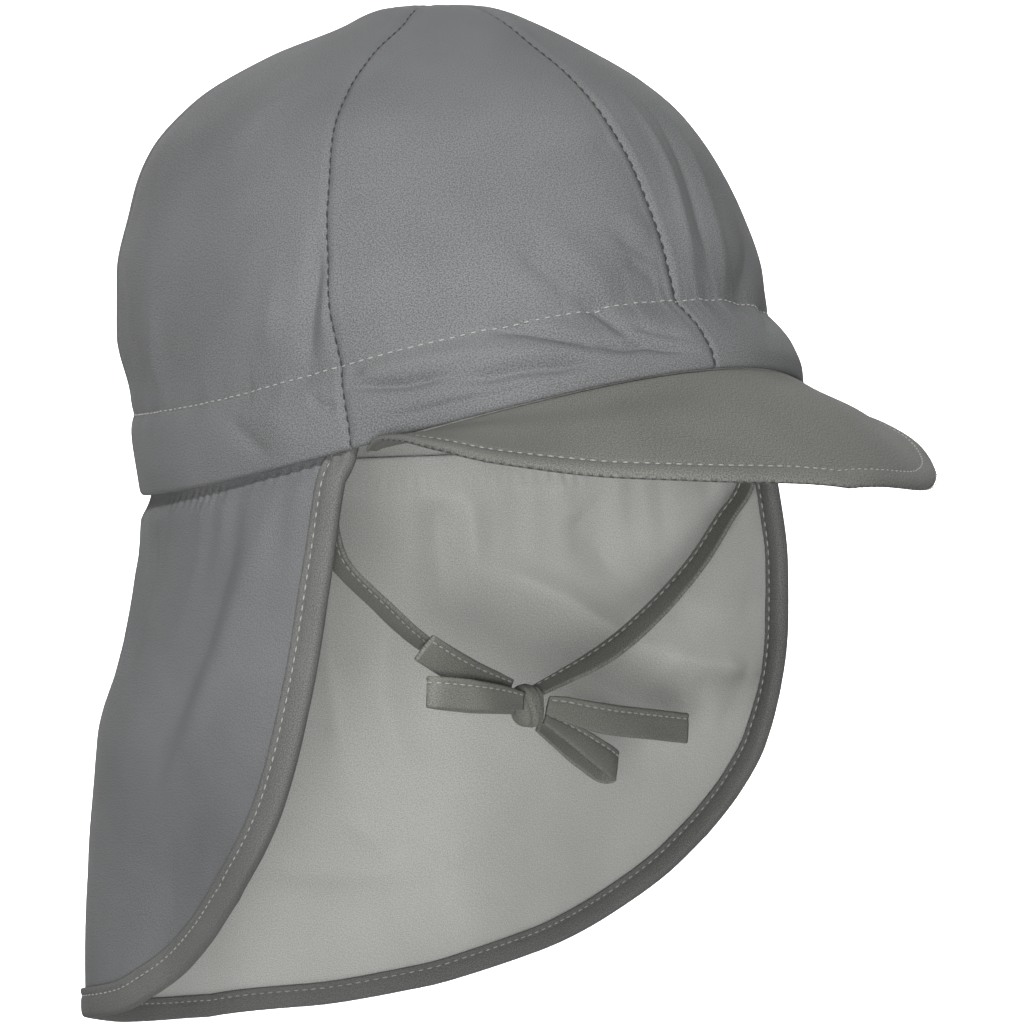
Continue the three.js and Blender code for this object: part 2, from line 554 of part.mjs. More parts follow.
// The tape over the free edge: a channel whose outside leg is longer than its inside leg.
function bindingSolid() {
  const stations = flapEdge().map(([side, down]) => flapAt(side, down));
  const points = stations.map(({ angle, depth }) => flapSurface(angle, depth));
  const outer = [];
  const inner = [];
  stations.forEach(({ angle, depth }, i) => {
    const before = points[Math.max(i - 1, 0)];
    const after = points[Math.min(i + 1, points.length - 1)];
    const along = after.clone().sub(before).normalize();
    const perDegree = flapSurface(angle + 0.5, depth).sub(flapSurface(angle - 0.5, depth));
    const perDown = flapSurface(angle, depth + 0.5).sub(flapSurface(angle, depth - 0.5));
    const normal = perDegree.clone().cross(perDown).normalize();
    if (normal.x * points[i].x + normal.y * points[i].y < 0) normal.negate();
    const inwards = normal.clone().cross(along).normalize();
    if (inwards.dot(new THREE.Vector3(0, 0.6, 0.8)) < 0) inwards.negate();
    // The steps in angle and depth that lead inwards on the cloth by one millimetre.
    const aa = perDegree.dot(perDegree);
    const ad = perDegree.dot(perDown);
    const dd = perDown.dot(perDown);
    const ia = inwards.dot(perDegree);
    const id = inwards.dot(perDown);
    const turn = (ia * dd - id * ad) / (aa * dd - ad * ad);
    const drop = (id * aa - ia * ad) / (aa * dd - ad * ad);
    const on = (w, n) => flapSurface(angle + turn * w, depth + drop * w).addScaledVector(normal, n);
    const off = (w, n) => points[i].clone().addScaledVector(inwards, w).addScaledVector(normal, n);
    const g = BINDING_GAP;
    const t = BINDING_CLOTH;
    outer.push([
      on(BINDING_OUTSIDE, g + t),
      on(BINDING_OUTSIDE / 2, g + t),
      off(-g * 0.5, g + t),
      off(-g - t, -CLOTH / 2),
      off(-g * 0.5, -CLOTH - g - t),
      on(BINDING_INSIDE, -CLOTH - g - t),
    ]);
    inner.push([
      on(BINDING_OUTSIDE, g),
      on(BINDING_OUTSIDE / 2, g),
      off(0, g),
      off(-g, -CLOTH / 2),
      off(0, -CLOTH - g),
      on(BINDING_INSIDE, -CLOTH - g),
    ]);
  });
  return sheetSolid(outer, inner);
}

// A flat tape along hand-placed points; its width follows a direction that may turn on the way.
function tape(points, widthStart, widthEnd) {
  const places = points.map((p) => new THREE.Vector3(...p.at));
  const curve = new THREE.CatmullRomCurve3(places, false, "centripetal");
  const steps = Math.max(6, Math.round(curve.getLength() / TAPE_STEP));
  const centres = curve.getSpacedPoints(steps);
  const section = [
    [-0.5, 0.2],
    [-0.42, 0.5],
    [0.42, 0.5],
    [0.5, 0.2],
    [0.5, -0.2],
    [0.42, -0.5],
    [-0.42, -0.5],
    [-0.5, -0.2],
  ];
  const positions = [];
  centres.forEach((centre, i) => {
    const along = centres[Math.min(i + 1, steps)].clone().sub(centres[Math.max(i - 1, 0)]).normalize();
    const wish = new THREE.Vector3(...widthStart).lerp(new THREE.Vector3(...widthEnd), ease(i / steps));
    const across = wish.addScaledVector(along, -wish.dot(along)).normalize();
    const flat = along.clone().cross(across);
    const row = curve.getUtoTmapping(i / steps) * (points.length - 1);
    const low = Math.min(Math.floor(row), points.length - 2);
    const width = TAPE_WIDTH * mix(points[low].width ?? 1, points[low + 1].width ?? 1, row - low);
    for (const [w, t] of section) {
      const p = centre.clone().addScaledVector(across, w * width).addScaledVector(flat, t * TAPE_THICKNESS);
      positions.push(p.x, p.y, p.z);
    }
  });
  const n = section.length;
  const index = [];
  for (let i = 0; i < steps; i++) {
    for (let k = 0; k < n; k++) {
      const a = i * n + k;
      const b = i * n + ((k + 1) % n);
      index.push(a, b, b + n, a, b + n, a + n);
    }
  }
  for (let k = 1; k + 1 < n; k++) {
    index.push(0, k + 1, k);
    index.push(steps * n, steps * n + k, steps * n + k + 1);
  }
  return facingOut(positions, index);
}

function knotSolid() {
  const ball = new THREE.SphereGeometry(0.5, 12, 8);
  ball.scale(...KNOT_SIZE);
  ball.translate(...KNOT_AT);
  ball.deleteAttribute("uv");
  ball.deleteAttribute("normal");
  return ball;
}

const part = new THREE.Group();
part.name = "baby_sun_cap";
function add(name, geometry, material) {
  const mesh = new THREE.Mesh(geometry, MATERIALS[material]);
  mesh.name = name;
  part.add(mesh);
}

for (const panel of CROWN_PANELS) add(panel.name, crownPanel(panel), "cloth");
add("brim", brimSolid(), "brim");
add("neck_flap", flapSolid(), "cloth");
add("flap_binding", bindingSolid(), "tape");
add("tie_right", tape(TIE_RIGHT, [0, 1, -0.06], [0.05, 1, -0.22]), "tape");
add("tie_left", tape(TIE_LEFT, [0.3, 1, 0], [0, 1, 0.35]), "tape");
add("bow_knot", knotSolid(), "tape");
add("bow_loop_right", tape(LOOP_RIGHT, [0.05, 0, 1], [0.05, 0, 1]), "tape");
add("bow_loop_left", tape(LOOP_LEFT, [0.4, 0.2, 1], [0.4, 0.2, 1]), "tape");
add("bow_end_right", tape(END_RIGHT, [0.3, 0, 1], [0.3, -0.5, 1]), "tape");
add("bow_end_left", tape(END_LEFT, [0.1, 0, 1], [0.1, 0.1, 1]), "tape");

export default part;
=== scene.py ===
"""The looks of a baby's grey sun cap with a neck flap and chin ties, in the part's own frame."""

import math

import bpy
import numpy as np
from mathutils import Matrix, Vector


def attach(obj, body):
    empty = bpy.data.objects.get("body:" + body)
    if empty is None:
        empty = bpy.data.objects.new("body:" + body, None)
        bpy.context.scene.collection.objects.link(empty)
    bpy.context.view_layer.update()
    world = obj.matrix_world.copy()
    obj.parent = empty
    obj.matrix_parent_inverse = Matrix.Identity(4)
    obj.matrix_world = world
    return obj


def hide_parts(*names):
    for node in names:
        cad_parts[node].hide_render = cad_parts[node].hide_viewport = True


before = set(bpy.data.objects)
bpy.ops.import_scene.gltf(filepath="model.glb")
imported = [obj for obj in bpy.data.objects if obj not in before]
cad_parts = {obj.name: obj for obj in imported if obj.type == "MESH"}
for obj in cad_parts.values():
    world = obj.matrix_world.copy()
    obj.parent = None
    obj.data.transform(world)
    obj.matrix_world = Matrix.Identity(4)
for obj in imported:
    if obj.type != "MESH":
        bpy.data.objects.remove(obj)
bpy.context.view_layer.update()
MM = 0.001

# The camera.

CAMERA_AZIMUTH = -42.0
CAMERA_ELEVATION = 5.0
CAMERA_DISTANCE = 1300.0
CAMERA_LOOKS_AT = (0.0, 0.0, -20.0)
FOCAL_PIXELS = 5369.0
PICTURE_PIXELS = 1024.0
SHIFT_PIXELS = (43.7, 16.0)
SENSOR = 36.0


def make_camera():
    azimuth, elevation = math.radians(CAMERA_AZIMUTH), math.radians(CAMERA_ELEVATION)
    level = math.cos(elevation)
    back = Vector((math.sin(azimuth) * level, -math.cos(azimuth) * level, math.sin(elevation)))
    right = Vector((math.cos(azimuth), math.sin(azimuth), 0.0))
    data = bpy.data.cameras.new("camera")
    data.lens = FOCAL_PIXELS / PICTURE_PIXELS * SENSOR
    data.sensor_width = SENSOR
    data.shift_x = SHIFT_PIXELS[0] / PICTURE_PIXELS
    data.shift_y = SHIFT_PIXELS[1] / PICTURE_PIXELS
    data.clip_end = 50.0
    camera = bpy.data.objects.new("camera", data)
    bpy.context.scene.collection.objects.link(camera)
    place = (Vector(CAMERA_LOOKS_AT) + back * CAMERA_DISTANCE) * MM
    turn = Matrix((right, back.cross(right), back)).transposed().to_4x4()
    camera.matrix_world = Matrix.Translation(place) @ turn
    bpy.context.scene.camera = camera


make_camera()

# Sizes, in millimetres.

HEAD_WIDTH = 146.0
HEAD_LENGTH = 176.0
HEM_TILT_RISE = 18.3
ROUND_CAP = 80
HEM_SIDE_DIP = 4.2
CROWN_HEIGHT = 107.0
CROWN_TOP_BACK = 13.0
CLOTH = 1.0
CASING_CLOTH = 1.7
CASING_HEIGHT = 19.3
CASING_FRONT_LESS = 3.6
SEAM_DIP = 0.5
SEAM_DIP_WIDTH = 3.5
STITCH_DIP = 0.55
STITCH_DIP_WIDTH = 2.2
SEAM_GROOVE = 0.45
SEAM_GROOVE_WIDTH = 0.7
SEAM_RIDGE = 0.16
SEAM_RIDGE_AWAY = 2.1
SEAM_RIDGE_WIDTH = 0.9
CASING_GROOVE = 0.22
CASING_GROOVE_WIDTH = 0.6
CASING_PUCKER = 0.16
CASING_PUCKER_WIDTH = 5
CROWN_WAVE = 0.28

CROWN_PANELS = [
    {"name": "crown_front_right", "from": 2, "to": 67},
    {"name": "crown_side_right", "from": 67, "to": 134},
    {"name": "crown_back", "from": 134, "to": 226},
    {"name": "crown_side_left", "from": 226, "to": 293},
    {"name": "crown_front_left", "from": 293, "to": 362},
]

CROWN_SECTIONS = {
    "height": [0, 0.04, 0.1, 0.2, 0.32, 0.45, 0.58, 0.7, 0.8, 0.89, 0.95, 0.985, 1],
    "front": [1, 0.997, 0.965, 0.88, 0.855, 0.81, 0.745, 0.655, 0.54, 0.395, 0.29, 0.18, 0],
    "back": [1, 1.015, 1.035, 1.06, 1.105, 1.1, 1.045, 0.97, 0.81, 0.545, 0.28, 0.16, 0],
}

# Folds: width, lift and the places that each runs through, as (angle, millimetres from the hem).
CROWN_FOLDS = [
    (1.3, -2.2, [(65.5, 13.8), (60, 12), (56.6, 11), (51.4, 10.6), (48.2, 10.2)]),
    (1.6, -2.1, [(48.1, 9.3), (43, 7.8), (37.6, 7.6), (30.8, 6), (25.4, 5.4)]),
    (2.6, 1.0, [(62, 16), (50, 14.5), (40, 12), (30, 9.5)]),
    (1.2, -0.8, [(44.8, 12.4), (47.8, 10.8)]),
    (1.2, -1.6, [(60, 4.2), (57.7, 4.2), (49.2, 3.8), (42.2, 3.2), (35.1, 3.2)]),
    (1.3, -2.0, [(39.2, 16.6), (34.6, 15.4), (31.4, 13.6), (27.9, 11.5), (25.2, 9.6)]),
    (1.3, -1.9, [(25.2, 9.6), (22, 8.5), (18.7, 7.4), (15.7, 7.4), (11.3, 5.6), (6, 4)]),
    (2.4, 0.6, [(34, 11), (28, 8.4), (22, 5.8)]),
    (2.4, -1.4, [(31.6, 33), (30.3, 30.8), (27.9, 27), (25.2, 23.2), (22.4, 19.2)]),
    (1.7, -1.5, [(22.4, 19.2), (20.4, 16.6), (19, 14), (17.8, 10.5), (16.5, 8.5)]),
    (4.4, 0.9, [(26, 36), (20, 26), (15, 16)]),
    (1.2, -0.9, [(16.5, 11.5), (14.8, 10.8), (11.7, 9.2), (6.5, 7.4)]),
    (1.7, -0.9, [(12, 26), (8.3, 22.5), (5, 19.6)]),
    (1.7, -0.9, [(13, 32), (10.6, 29.4), (7, 26.2), (4.6, 24.4)]),
    (2.4, 0.5, [(10, 35), (4, 30)]),
    (2.2, -0.5, [(10, 50), (4, 52)]),
    (2.6, -1.9, [(68.3, 50), (69.4, 40), (70.8, 33), (72.4, 26), (73.2, 19)]),
    (2, 0.6, [(66.5, 42), (67.8, 32), (69.4, 22)]),
    (4, 0.6, [(78, 46), (79.5, 34), (80.5, 24)]),
    (1.2, -0.9, [(72.8, 15), (72.3, 13), (71.4, 11.5), (69.8, 10.6), (67.8, 10.8)]),
    (1.2, -0.8, [(65.6, 17.2), (62.4, 16)]),
    (1.8, -0.5, [(65, 56), (56, 54)]),
    (2.2, -0.9, [(92, 15), (86, 8), (81, 1)]),
    (3.4, 0.5, [(83, 14), (76, 5)]),
    (3, 0.45, [(53, 21), (46, 28), (38, 28)]),
    (4, 1.1, [(110, 48), (111, 22)]),
    (3.4, -0.9, [(118, 42), (118, 22)]),
    (5, -1.6, [(128, 52), (126, 24)]),
    (4, 0.6, [(99, 78), (86, 92)]),
    (7, 1.6, [(150, 58), (154, 22)]),
    (8, -1.6, [(182, 62), (180, 22)]),
    (7, 1.6, [(214, 56), (208, 24)]),
    (5, -1.6, [(286, 49), (284, 22)]),
    (2.2, -1.1, [(294, 16), (312, 10)]),
    (2.2, -1.1, [(324, 20), (344, 7)]),
    (4, -1.2, [(328, 35), (346, 12)]),
    (2.6, 0.8, [(338, 62), (343, 40), (348, 16)]),
    (2.2, -0.8, [(344, 60), (348, 42), (352, 22)]),
    (2.4, 0.8, [(350, 62), (353, 42), (357, 20)]),
]

BRIM_REACH = 40.0
BRIM_DROP = 23.0
BRIM_THICKNESS = 2.0
BRIM_ROOT_THICKNESS = 1.3
BRIM_ROOT_ANGLE = 14.0
BRIM_SWELL = 1.2
BRIM_CORNER_DROOP = 5.9
BRIM_DROOP_ANGLE = -24.0
BRIM_DROOP_SPREAD = 17.0
BRIM_GAP = 0.4
BRIM_OUTLINE = {
    "angle": [0, 16, 28, 36, 44, 52, 57, 61, 64],
    "reach": [1, 0.955, 0.893, 0.815, 0.692, 0.504, 0.335, 0.18, 0.03],
    "drop": [0.98, 0.854, 0.691, 0.542, 0.34, 0.1, -0.03, -0.07, 0],
}

FLAP_START_ANGLE = 67.0
FLAP_LENGTH = 138.0
FLAP_CORNER_ANGLE = 87.4
FLAP_TUCK = 5.0
FLAP_INSET = 2.6
FLAP_WAVE = 0.5
ROUND_FLAP = 82
GATHER_PITCH = 3.3
GATHER_HEIGHT = 0.42
RIB_HEIGHT = 0.42
FLAP_FRONT_EDGE = {
    "down": [0, 0.11, 0.29, 0.52, 0.67, 0.81, 0.9, 1],
    "right": [0, 1.9, 2.9, 4.8, 7, 10.4, 14.3, 20.8],
    "left": [0, 1, 1.5, 3.3, 5.6, 9.5, 14.3, 21.1],
}
FLAP_BOTTOM_EDGE = {
    "angle": [87.4, 95, 104, 112, 120, 140, 160, 180],
    "right": [0.715, 0.773, 0.824, 0.865, 0.9, 0.94, 0.98, 1],
    "left": [0.708, 0.774, 0.828, 0.868, 0.904, 0.976, 1, 1],
}
# How far the flap stands out, as shares of the hem's size: at each angle, going down.
FLAP_FLARE_DOWNS = [0, 0.11, 0.25, 0.43, 0.65, 0.87, 1.09]
FLAP_FLARE = {
    67: [0, 0.055, 0.105, 0.127, 0.125, 0.1, 0.1],
    85: [0, 0.03, 0.075, 0.11, 0.09, 0.05, 0.035],
    104: [0, 0.01, 0.04, 0.07, 0.05, 0.022, 0.03],
    120: [0, 0.01, 0.045, 0.11, 0.12, 0.1, 0.11],
    135: [0, 0.015, 0.06, 0.158, 0.185, 0.187, 0.172],
    180: [0, 0.01, 0.03, 0.08, 0.12, 0.145, 0.165],
}
FLAP_FOLDS = [
    (5.5, 1.3, [(80, 6), (84.7, 18), (89.5, 37), (95.5, 54), (105, 71), (110, 80)]),
    (5, -1.1, [(88.4, 8), (90.5, 22), (93.5, 37), (102.5, 56), (116, 68)]),
    (6, 0.9, [(96, 9), (103, 34), (114, 50)]),
    (6, -1.1, [(116, 4), (124, 50)]),
    (4, 1.2, [(129, 8), (127, 50)]),
    (8, -1.2, [(136, 14), (138, 90)]),
    (9, 2, [(150, 5), (152, 120)]),
    (9, -2, [(168, 10), (170, 130)]),
    (9, 1.8, [(188, 5), (186, 130)]),
    (4.5, 3.2, [(201, 30), (203, 45), (205.5, 60), (206.5, 78)]),
    (6, -4.0, [(212, 30), (213, 55), (216, 74), (222, 84)]),
    (4, 2.6, [(226.8, 1), (227.7, 12), (228.6, 24)]),
    (5, -3.0, [(222, 4), (222.5, 16), (223.5, 34)]),
    (4.5, 4.2, [(229, 24), (236.6, 28.5), (243.8, 34), (251, 42), (260, 49.5)]),
    (4, 3.4, [(260, 49.5), (269.3, 55), (281, 59)]),
    (6, -4.0, [(232, 37), (240, 45), (250, 55), (262, 64), (276, 70)]),
    (6.5, -3.2, [(246, 10), (256, 28), (270, 40), (281, 44)]),
    (5, 1.2, [(243, 4), (250, 14)]),
    (2.6, 1.3, [(207, 90), (212, 95.2), (215.2, 101.5)]),
    (3.4, 1.8, [(192, 103), (204.7, 104.7), (212.4, 105.3), (220, 104)]),
    (1.6, 0.6, [(224.5, 99), (227.1, 104.5)]),
    (1.8, -0.5, [(208.1, 88.3), (218, 99), (228.4, 107.9)]),
]

BINDING_OUTSIDE = 6.3
BINDING_INSIDE = 5.0

TAPE_WIDTH = 7.5
TAPE_THICKNESS = 1.2
# Tapes: each row has a name, a place and the tape's share of its full width there.
TIE_RIGHT = [
    ("hem", (-63.9, -24, 4), 1),
    ("below_hem", (-65.4, -24, -8), 1),
    ("out_of_flap", (-62.6, -23.6, -20.8), 1),
    ("upper_sag", (-48.4, -22.3, -33.1), 1),
    ("middle_sag", (-32.1, -19.8, -44.1), 1),
    ("lower_sag", (-17.6, -19.2, -50.9), 0.9),
    ("knot_side", (-7.2, -20.6, -56.4), 0.6),
]
TIE_LEFT = [
    ("hem", (63.7, -29.6, 4), 1),
    ("below_brim", (64, -31, -10.8), 1),
    ("upper_sag", (57.1, -30.5, -19.4), 1),
    ("side_sag", (49.7, -30, -27.8), 1),
    ("middle_sag", (43.1, -29, -34.4), 1),
    ("inner_sag", (35.2, -27.5, -41.2), 1),
    ("lower_sag", (20.3, -25, -50.7), 0.95),
    ("knot_side", (2.6, -22.4, -57.6), 0.6),
]
KNOT_SIZE = (8.6, 7.4, 10.2)
KNOT_AT = (-3.4, -24.9, -60.8)
KNOT_RINGS = 40
KNOT_AROUND = 56
# Depth, place over the knot and width of its creases.
KNOT_CREASES = [(0.16, -0.42, 0.09), (0.12, 0.5, 0.08), (0.04, 0.08, 0.07)]
LOOP_RIGHT = [
    ("out_upper", (-7.9, -27.8, -59), 0.6),
    ("near_knot", (-16.7, -29.6, -57.4), 0.85),
    ("upper_mid", (-28.1, -30.6, -55.7), 1),
    ("upper_end", (-36.6, -30, -54.5), 1),
    ("turn", (-38.2, -28.5, -54.4), 1),
    ("lower_end", (-34, -27.2, -55.3), 1),
    ("lower_mid", (-24.3, -27.2, -57.1), 0.95),
    ("back_in", (-8.2, -25.7, -60.2), 0.6),
]
LOOP_LEFT = [
    ("out_upper", (1.6, -25.8, -64.2), 0.4),
    ("near_knot", (5.5, -26.2, -66.2), 0.55),
    ("upper_mid", (15.1, -26.6, -71.7), 0.85),
    ("corner", (23.7, -25.6, -76.5), 1),
    ("turn", (26.8, -23.6, -78.3), 1),
    ("tip", (25.2, -21.6, -78.9), 1),
    ("lower_mid", (17.6, -21, -74.9), 0.85),
    ("back_in", (2.4, -22.4, -66.4), 0.4),
]
END_RIGHT = [
    ("leaves_knot", (-7.9, -23.7, -56.3), 0.6),
    ("near_knot", (-12.8, -24.3, -55), 0.8),
    ("middle", (-24, -24.7, -50.9), 1),
    ("cut_end", (-36.5, -25, -44.3), 1),
]
END_LEFT = [
    ("leaves_knot", (1, -27.2, -60.8), 0.6),
    ("near_knot", (5, -28.6, -61.9), 0.8),
    ("middle", (16, -30.4, -64.9), 1),
    ("lower", (33.7, -29.4, -68), 1),
    ("cut_end", (46.6, -28.2, -70.1), 1),
]


# Curves and surfaces.


def ease(x):
    t = np.clip(x, 0, 1)
    return t * t * (3 - 2 * t)


def mix(a, b, t):
    return a + (b - a) * t


def through_columns(xs, ys, at):
    """Smooth curves through ys (..., n) over xs, that never overshoot, read at each place."""
    xs = np.asarray(xs, float)
    ys = np.asarray(ys, float)
    at = np.asarray(at, float)
    slopes = np.diff(ys, axis=-1) / np.diff(xs)
    tangents = np.empty_like(ys)
    tangents[..., 0] = slopes[..., 0]
    tangents[..., -1] = slopes[..., -1]
    before, after = slopes[..., :-1], slopes[..., 1:]
    product = before * after
    total = np.where(product > 0, before + after, 1)
    tangents[..., 1:-1] = np.where(product > 0, 2 * product / total, 0)
    i = np.clip(np.searchsorted(xs, at, side="right") - 1, 0, len(xs) - 2)
    span = xs[i + 1] - xs[i]
    t = np.clip((at - xs[i]) / span, 0, 1)

    def pick(values, k):
        if values.ndim == 1:
            return values[k]
        return np.take_along_axis(values, k[..., None], axis=-1)[..., 0]

    t2, t3 = t * t, t * t * t
    return (
        (2 * t3 - 3 * t2 + 1) * pick(ys, i)
        + (t3 - 2 * t2 + t) * span * pick(tangents, i)
        + (3 * t2 - 2 * t3) * pick(ys, i + 1)
        + (t3 - t2) * span * pick(tangents, i + 1)
    )


def through(table, key, value, at):
    return through_columns(table[key], table[value], at)


def unit(v):
    return v / np.maximum(np.linalg.norm(v, axis=-1, keepdims=True), 1e-9)


def hem_height(angle):
    a = np.radians(angle)
    return HEM_TILT_RISE * np.cos(a) + HEM_SIDE_DIP * np.cos(2 * a)


def hem_plan(angle, scale):
    a = np.radians(angle)
    return -HEAD_WIDTH / 2 * scale * np.sin(a), -HEAD_LENGTH / 2 * scale * np.cos(a)


def fold_lift(folds, angle, height):
    """How far the folds push the cloth out: each fades off its path and towards the path's ends."""
    arc = math.radians(1) * (HEAD_WIDTH + HEAD_LENGTH) / 4
    lift = np.zeros(np.broadcast(angle, height).shape)
    for width, push, places in folds:
        path = np.array(places, float) * [arc, 1]
        starts, steps = path[:-1], np.diff(path, axis=0)
        lengths = np.linalg.norm(steps, axis=1)
        total = lengths.sum()
        nearest = np.full(lift.shape, 1e9)
        along = np.zeros(lift.shape)
        befores = np.cumsum(lengths) - lengths
        for start, step, length, before in zip(starts, steps, lengths, befores):
            px, py = angle * arc - start[0], height - start[1]
            t = np.clip((px * step[0] + py * step[1]) / length**2, 0, 1)
            away = np.hypot(px - step[0] * t, py - step[1] * t)
            along = np.where(away < nearest, before + length * t, along)
            nearest = np.minimum(nearest, away)
        fade = mix(0.35, 1, ease(np.minimum(along, total - along) / (0.3 * total)))
        lift += push * fade * np.exp(-((nearest / width) ** 1.7))
    return lift


def undulation(u, v, seed, scale):
    """A slow, soft unevenness from a few seeded waves, about -1 to 1."""
    chance = np.random.RandomState(seed)
    total = np.zeros(np.broadcast(u, v).shape)
    for k in range(7):
        wave = scale * (0.6 + 0.25 * k)
        direction = chance.uniform(0, 2 * math.pi)
        phase = chance.uniform(0, 2 * math.pi)
        along = u * math.cos(direction) + v * math.sin(direction)
        total += np.sin(along * 2 * math.pi / wave + phase)
    return total / 3.5


def casing_rise(angle):
    facing = np.maximum(np.cos(np.radians(angle)), 0)
    return CASING_HEIGHT - CASING_FRONT_LESS * facing**2


def crown_shape(angle, share):
    front = through(CROWN_SECTIONS, "height", "front", share)
    back = through(CROWN_SECTIONS, "height", "back", share)
    a = np.radians(angle)
    c = np.cos(a)
    x = -HEAD_WIDTH / 2 * (front + back) / 2 * np.sin(a)
    y = -HEAD_LENGTH / 2 * np.where(c > 0, front, back) * c + CROWN_TOP_BACK * share
    z = mix(hem_height(angle), CROWN_HEIGHT, share)
    return np.stack(np.broadcast_arrays(x, y, z), -1)


def crown_lift(angle, share, fine=True):
    """How far the folds, seams and stitch lines push the crown's cloth out."""
    rise = (CROWN_HEIGHT - hem_height(angle)) * share
    fade = 1 - ease((share - 0.7) / 0.25)
    past_stitch = rise - casing_rise(angle)
    stitch = past_stitch / STITCH_DIP_WIDTH
    place = crown_shape(angle, share)
    radius = np.hypot(place[..., 0], place[..., 1] - CROWN_TOP_BACK * share)
    lift = fold_lift(CROWN_FOLDS, angle, rise) * fade * ease((rise - 1) / 5)
    lift = lift - STITCH_DIP * np.exp(-stitch * stitch)
    for panel in CROWN_PANELS:
        turn = np.abs((angle - panel["from"] + 540) % 360 - 180)
        arc = np.radians(turn) * radius
        lift = lift - SEAM_DIP * np.exp(-((arc / SEAM_DIP_WIDTH) ** 2)) * ease(rise / 6)
        if fine:
            ridge = (arc - SEAM_RIDGE_AWAY) / SEAM_RIDGE_WIDTH
            lift = lift - SEAM_GROOVE * np.exp(-((arc / SEAM_GROOVE_WIDTH) ** 2))
            lift = lift + SEAM_RIDGE * np.exp(-(ridge**2)) * ease(rise / 6)
    if fine:
        arc = np.radians(angle) * ROUND_CAP
        lift = lift + CROWN_WAVE * undulation(arc, rise, 5, 34) * fade * ease(rise / 10)
        narrow = past_stitch / CASING_GROOVE_WIDTH
        lift = lift - CASING_GROOVE * np.exp(-narrow * narrow)
        pucker = undulation(arc * 2.4, rise * 0.4, 9, 12)
        lift = lift + CASING_PUCKER * pucker * np.exp(-((past_stitch / CASING_PUCKER_WIDTH) ** 2))
    return lift


def crown_normal(angle, share):
    low = np.clip(share, 0.004, 0.985)
    du = crown_shape(angle + 0.5, low) - crown_shape(angle - 0.5, low)
    dv = crown_shape(angle, low + 0.004) - crown_shape(angle, low - 0.004)
    normal = unit(np.cross(dv, du))
    rise = (CROWN_HEIGHT - hem_height(angle)) * share
    normal[..., 2] *= ease(rise / 8)
    normal = unit(normal)
    t = ease((share - 0.955) / 0.035)[..., None]
    return unit(mix(normal, np.array([0, 0, 1.0]), t))


def crown_point(angle, share, offset):
    lift = crown_lift(angle, share) + offset
    return crown_shape(angle, share) + crown_normal(angle, share) * lift[..., None]


def brim_point(angle, out):
    turn = np.abs(angle)
    reach = BRIM_REACH / (HEAD_LENGTH / 2) * through(BRIM_OUTLINE, "angle", "reach", turn)
    drop = BRIM_DROP * through(BRIM_OUTLINE, "angle", "drop", turn)
    root = 1 - CASING_CLOTH / (HEAD_WIDTH / 2)
    x, y = hem_plan(angle, mix(root, 1 + reach, out))
    droop = BRIM_CORNER_DROOP * np.exp(-(((angle - BRIM_DROOP_ANGLE) / BRIM_DROOP_SPREAD) ** 2))
    free = ease((out - 0.15) / 0.35) * (1 - out)
    swell = BRIM_SWELL * 2 * free * through(BRIM_OUTLINE, "angle", "reach", turn)
    clear = np.clip((mix(root, 1 + reach, out) - 1) / reach, 0, 1)
    z = hem_height(angle) - BRIM_GAP - drop * clear - droop * clear * clear + swell
    return np.stack(np.broadcast_arrays(x, y, z), -1)


def flap_place(across, down, hand):
    front = FLAP_START_ANGLE + through(FLAP_FRONT_EDGE, "down", hand, down)
    bottom = mix(FLAP_CORNER_ANGLE, 180, across)
    length = FLAP_LENGTH * through(FLAP_BOTTOM_EDGE, "angle", hand, bottom)
    return mix(front, 180, across), mix(-FLAP_TUCK, length, down)


def flap_at(side, down):
    """The angle and depth of a place: side runs from -1 (left front edge) to 1 (right front edge)."""
    across = 1 - np.abs(side)
    angle_r, depth_r = flap_place(across, down, "right")
    angle_l, depth_l = flap_place(across, down, "left")
    left = side < 0
    return np.where(left, 360 - angle_l, angle_r), np.where(left, depth_l, depth_r)


def flap_flare(angle, depth):
    turn = np.where(angle > 180, 360 - angle, angle)
    down = depth / FLAP_LENGTH
    columns = [through_columns(FLAP_FLARE_DOWNS, shares, down) for shares in FLAP_FLARE.values()]
    return through_columns(list(FLAP_FLARE), np.stack(columns, -1), turn)


def flap_gathers(angle, depth):
    """Fine gathers under the hem, which run out into soft ribs."""
    arc = np.radians(angle) * ROUND_FLAP
    drift = 2.4 * undulation(arc, depth * 0.2, 21, 60)
    fine = np.sin(2 * math.pi * (arc + drift) / GATHER_PITCH)
    uneven = 0.55 + 0.45 * undulation(arc, 0 * depth, 22, 22)
    reach = 4.5 + 2.5 * undulation(arc, 0 * depth, 23, 9)
    top = GATHER_HEIGHT * fine * uneven * ease((depth + 1) / 2.5) * (1 - ease((depth - 1.5) / reach))
    ribs = RIB_HEIGHT * undulation(arc, depth * 0.12, 24, 13)
    return top + ribs * ease(depth / 6) * (1 - ease((depth - 8) / 26))


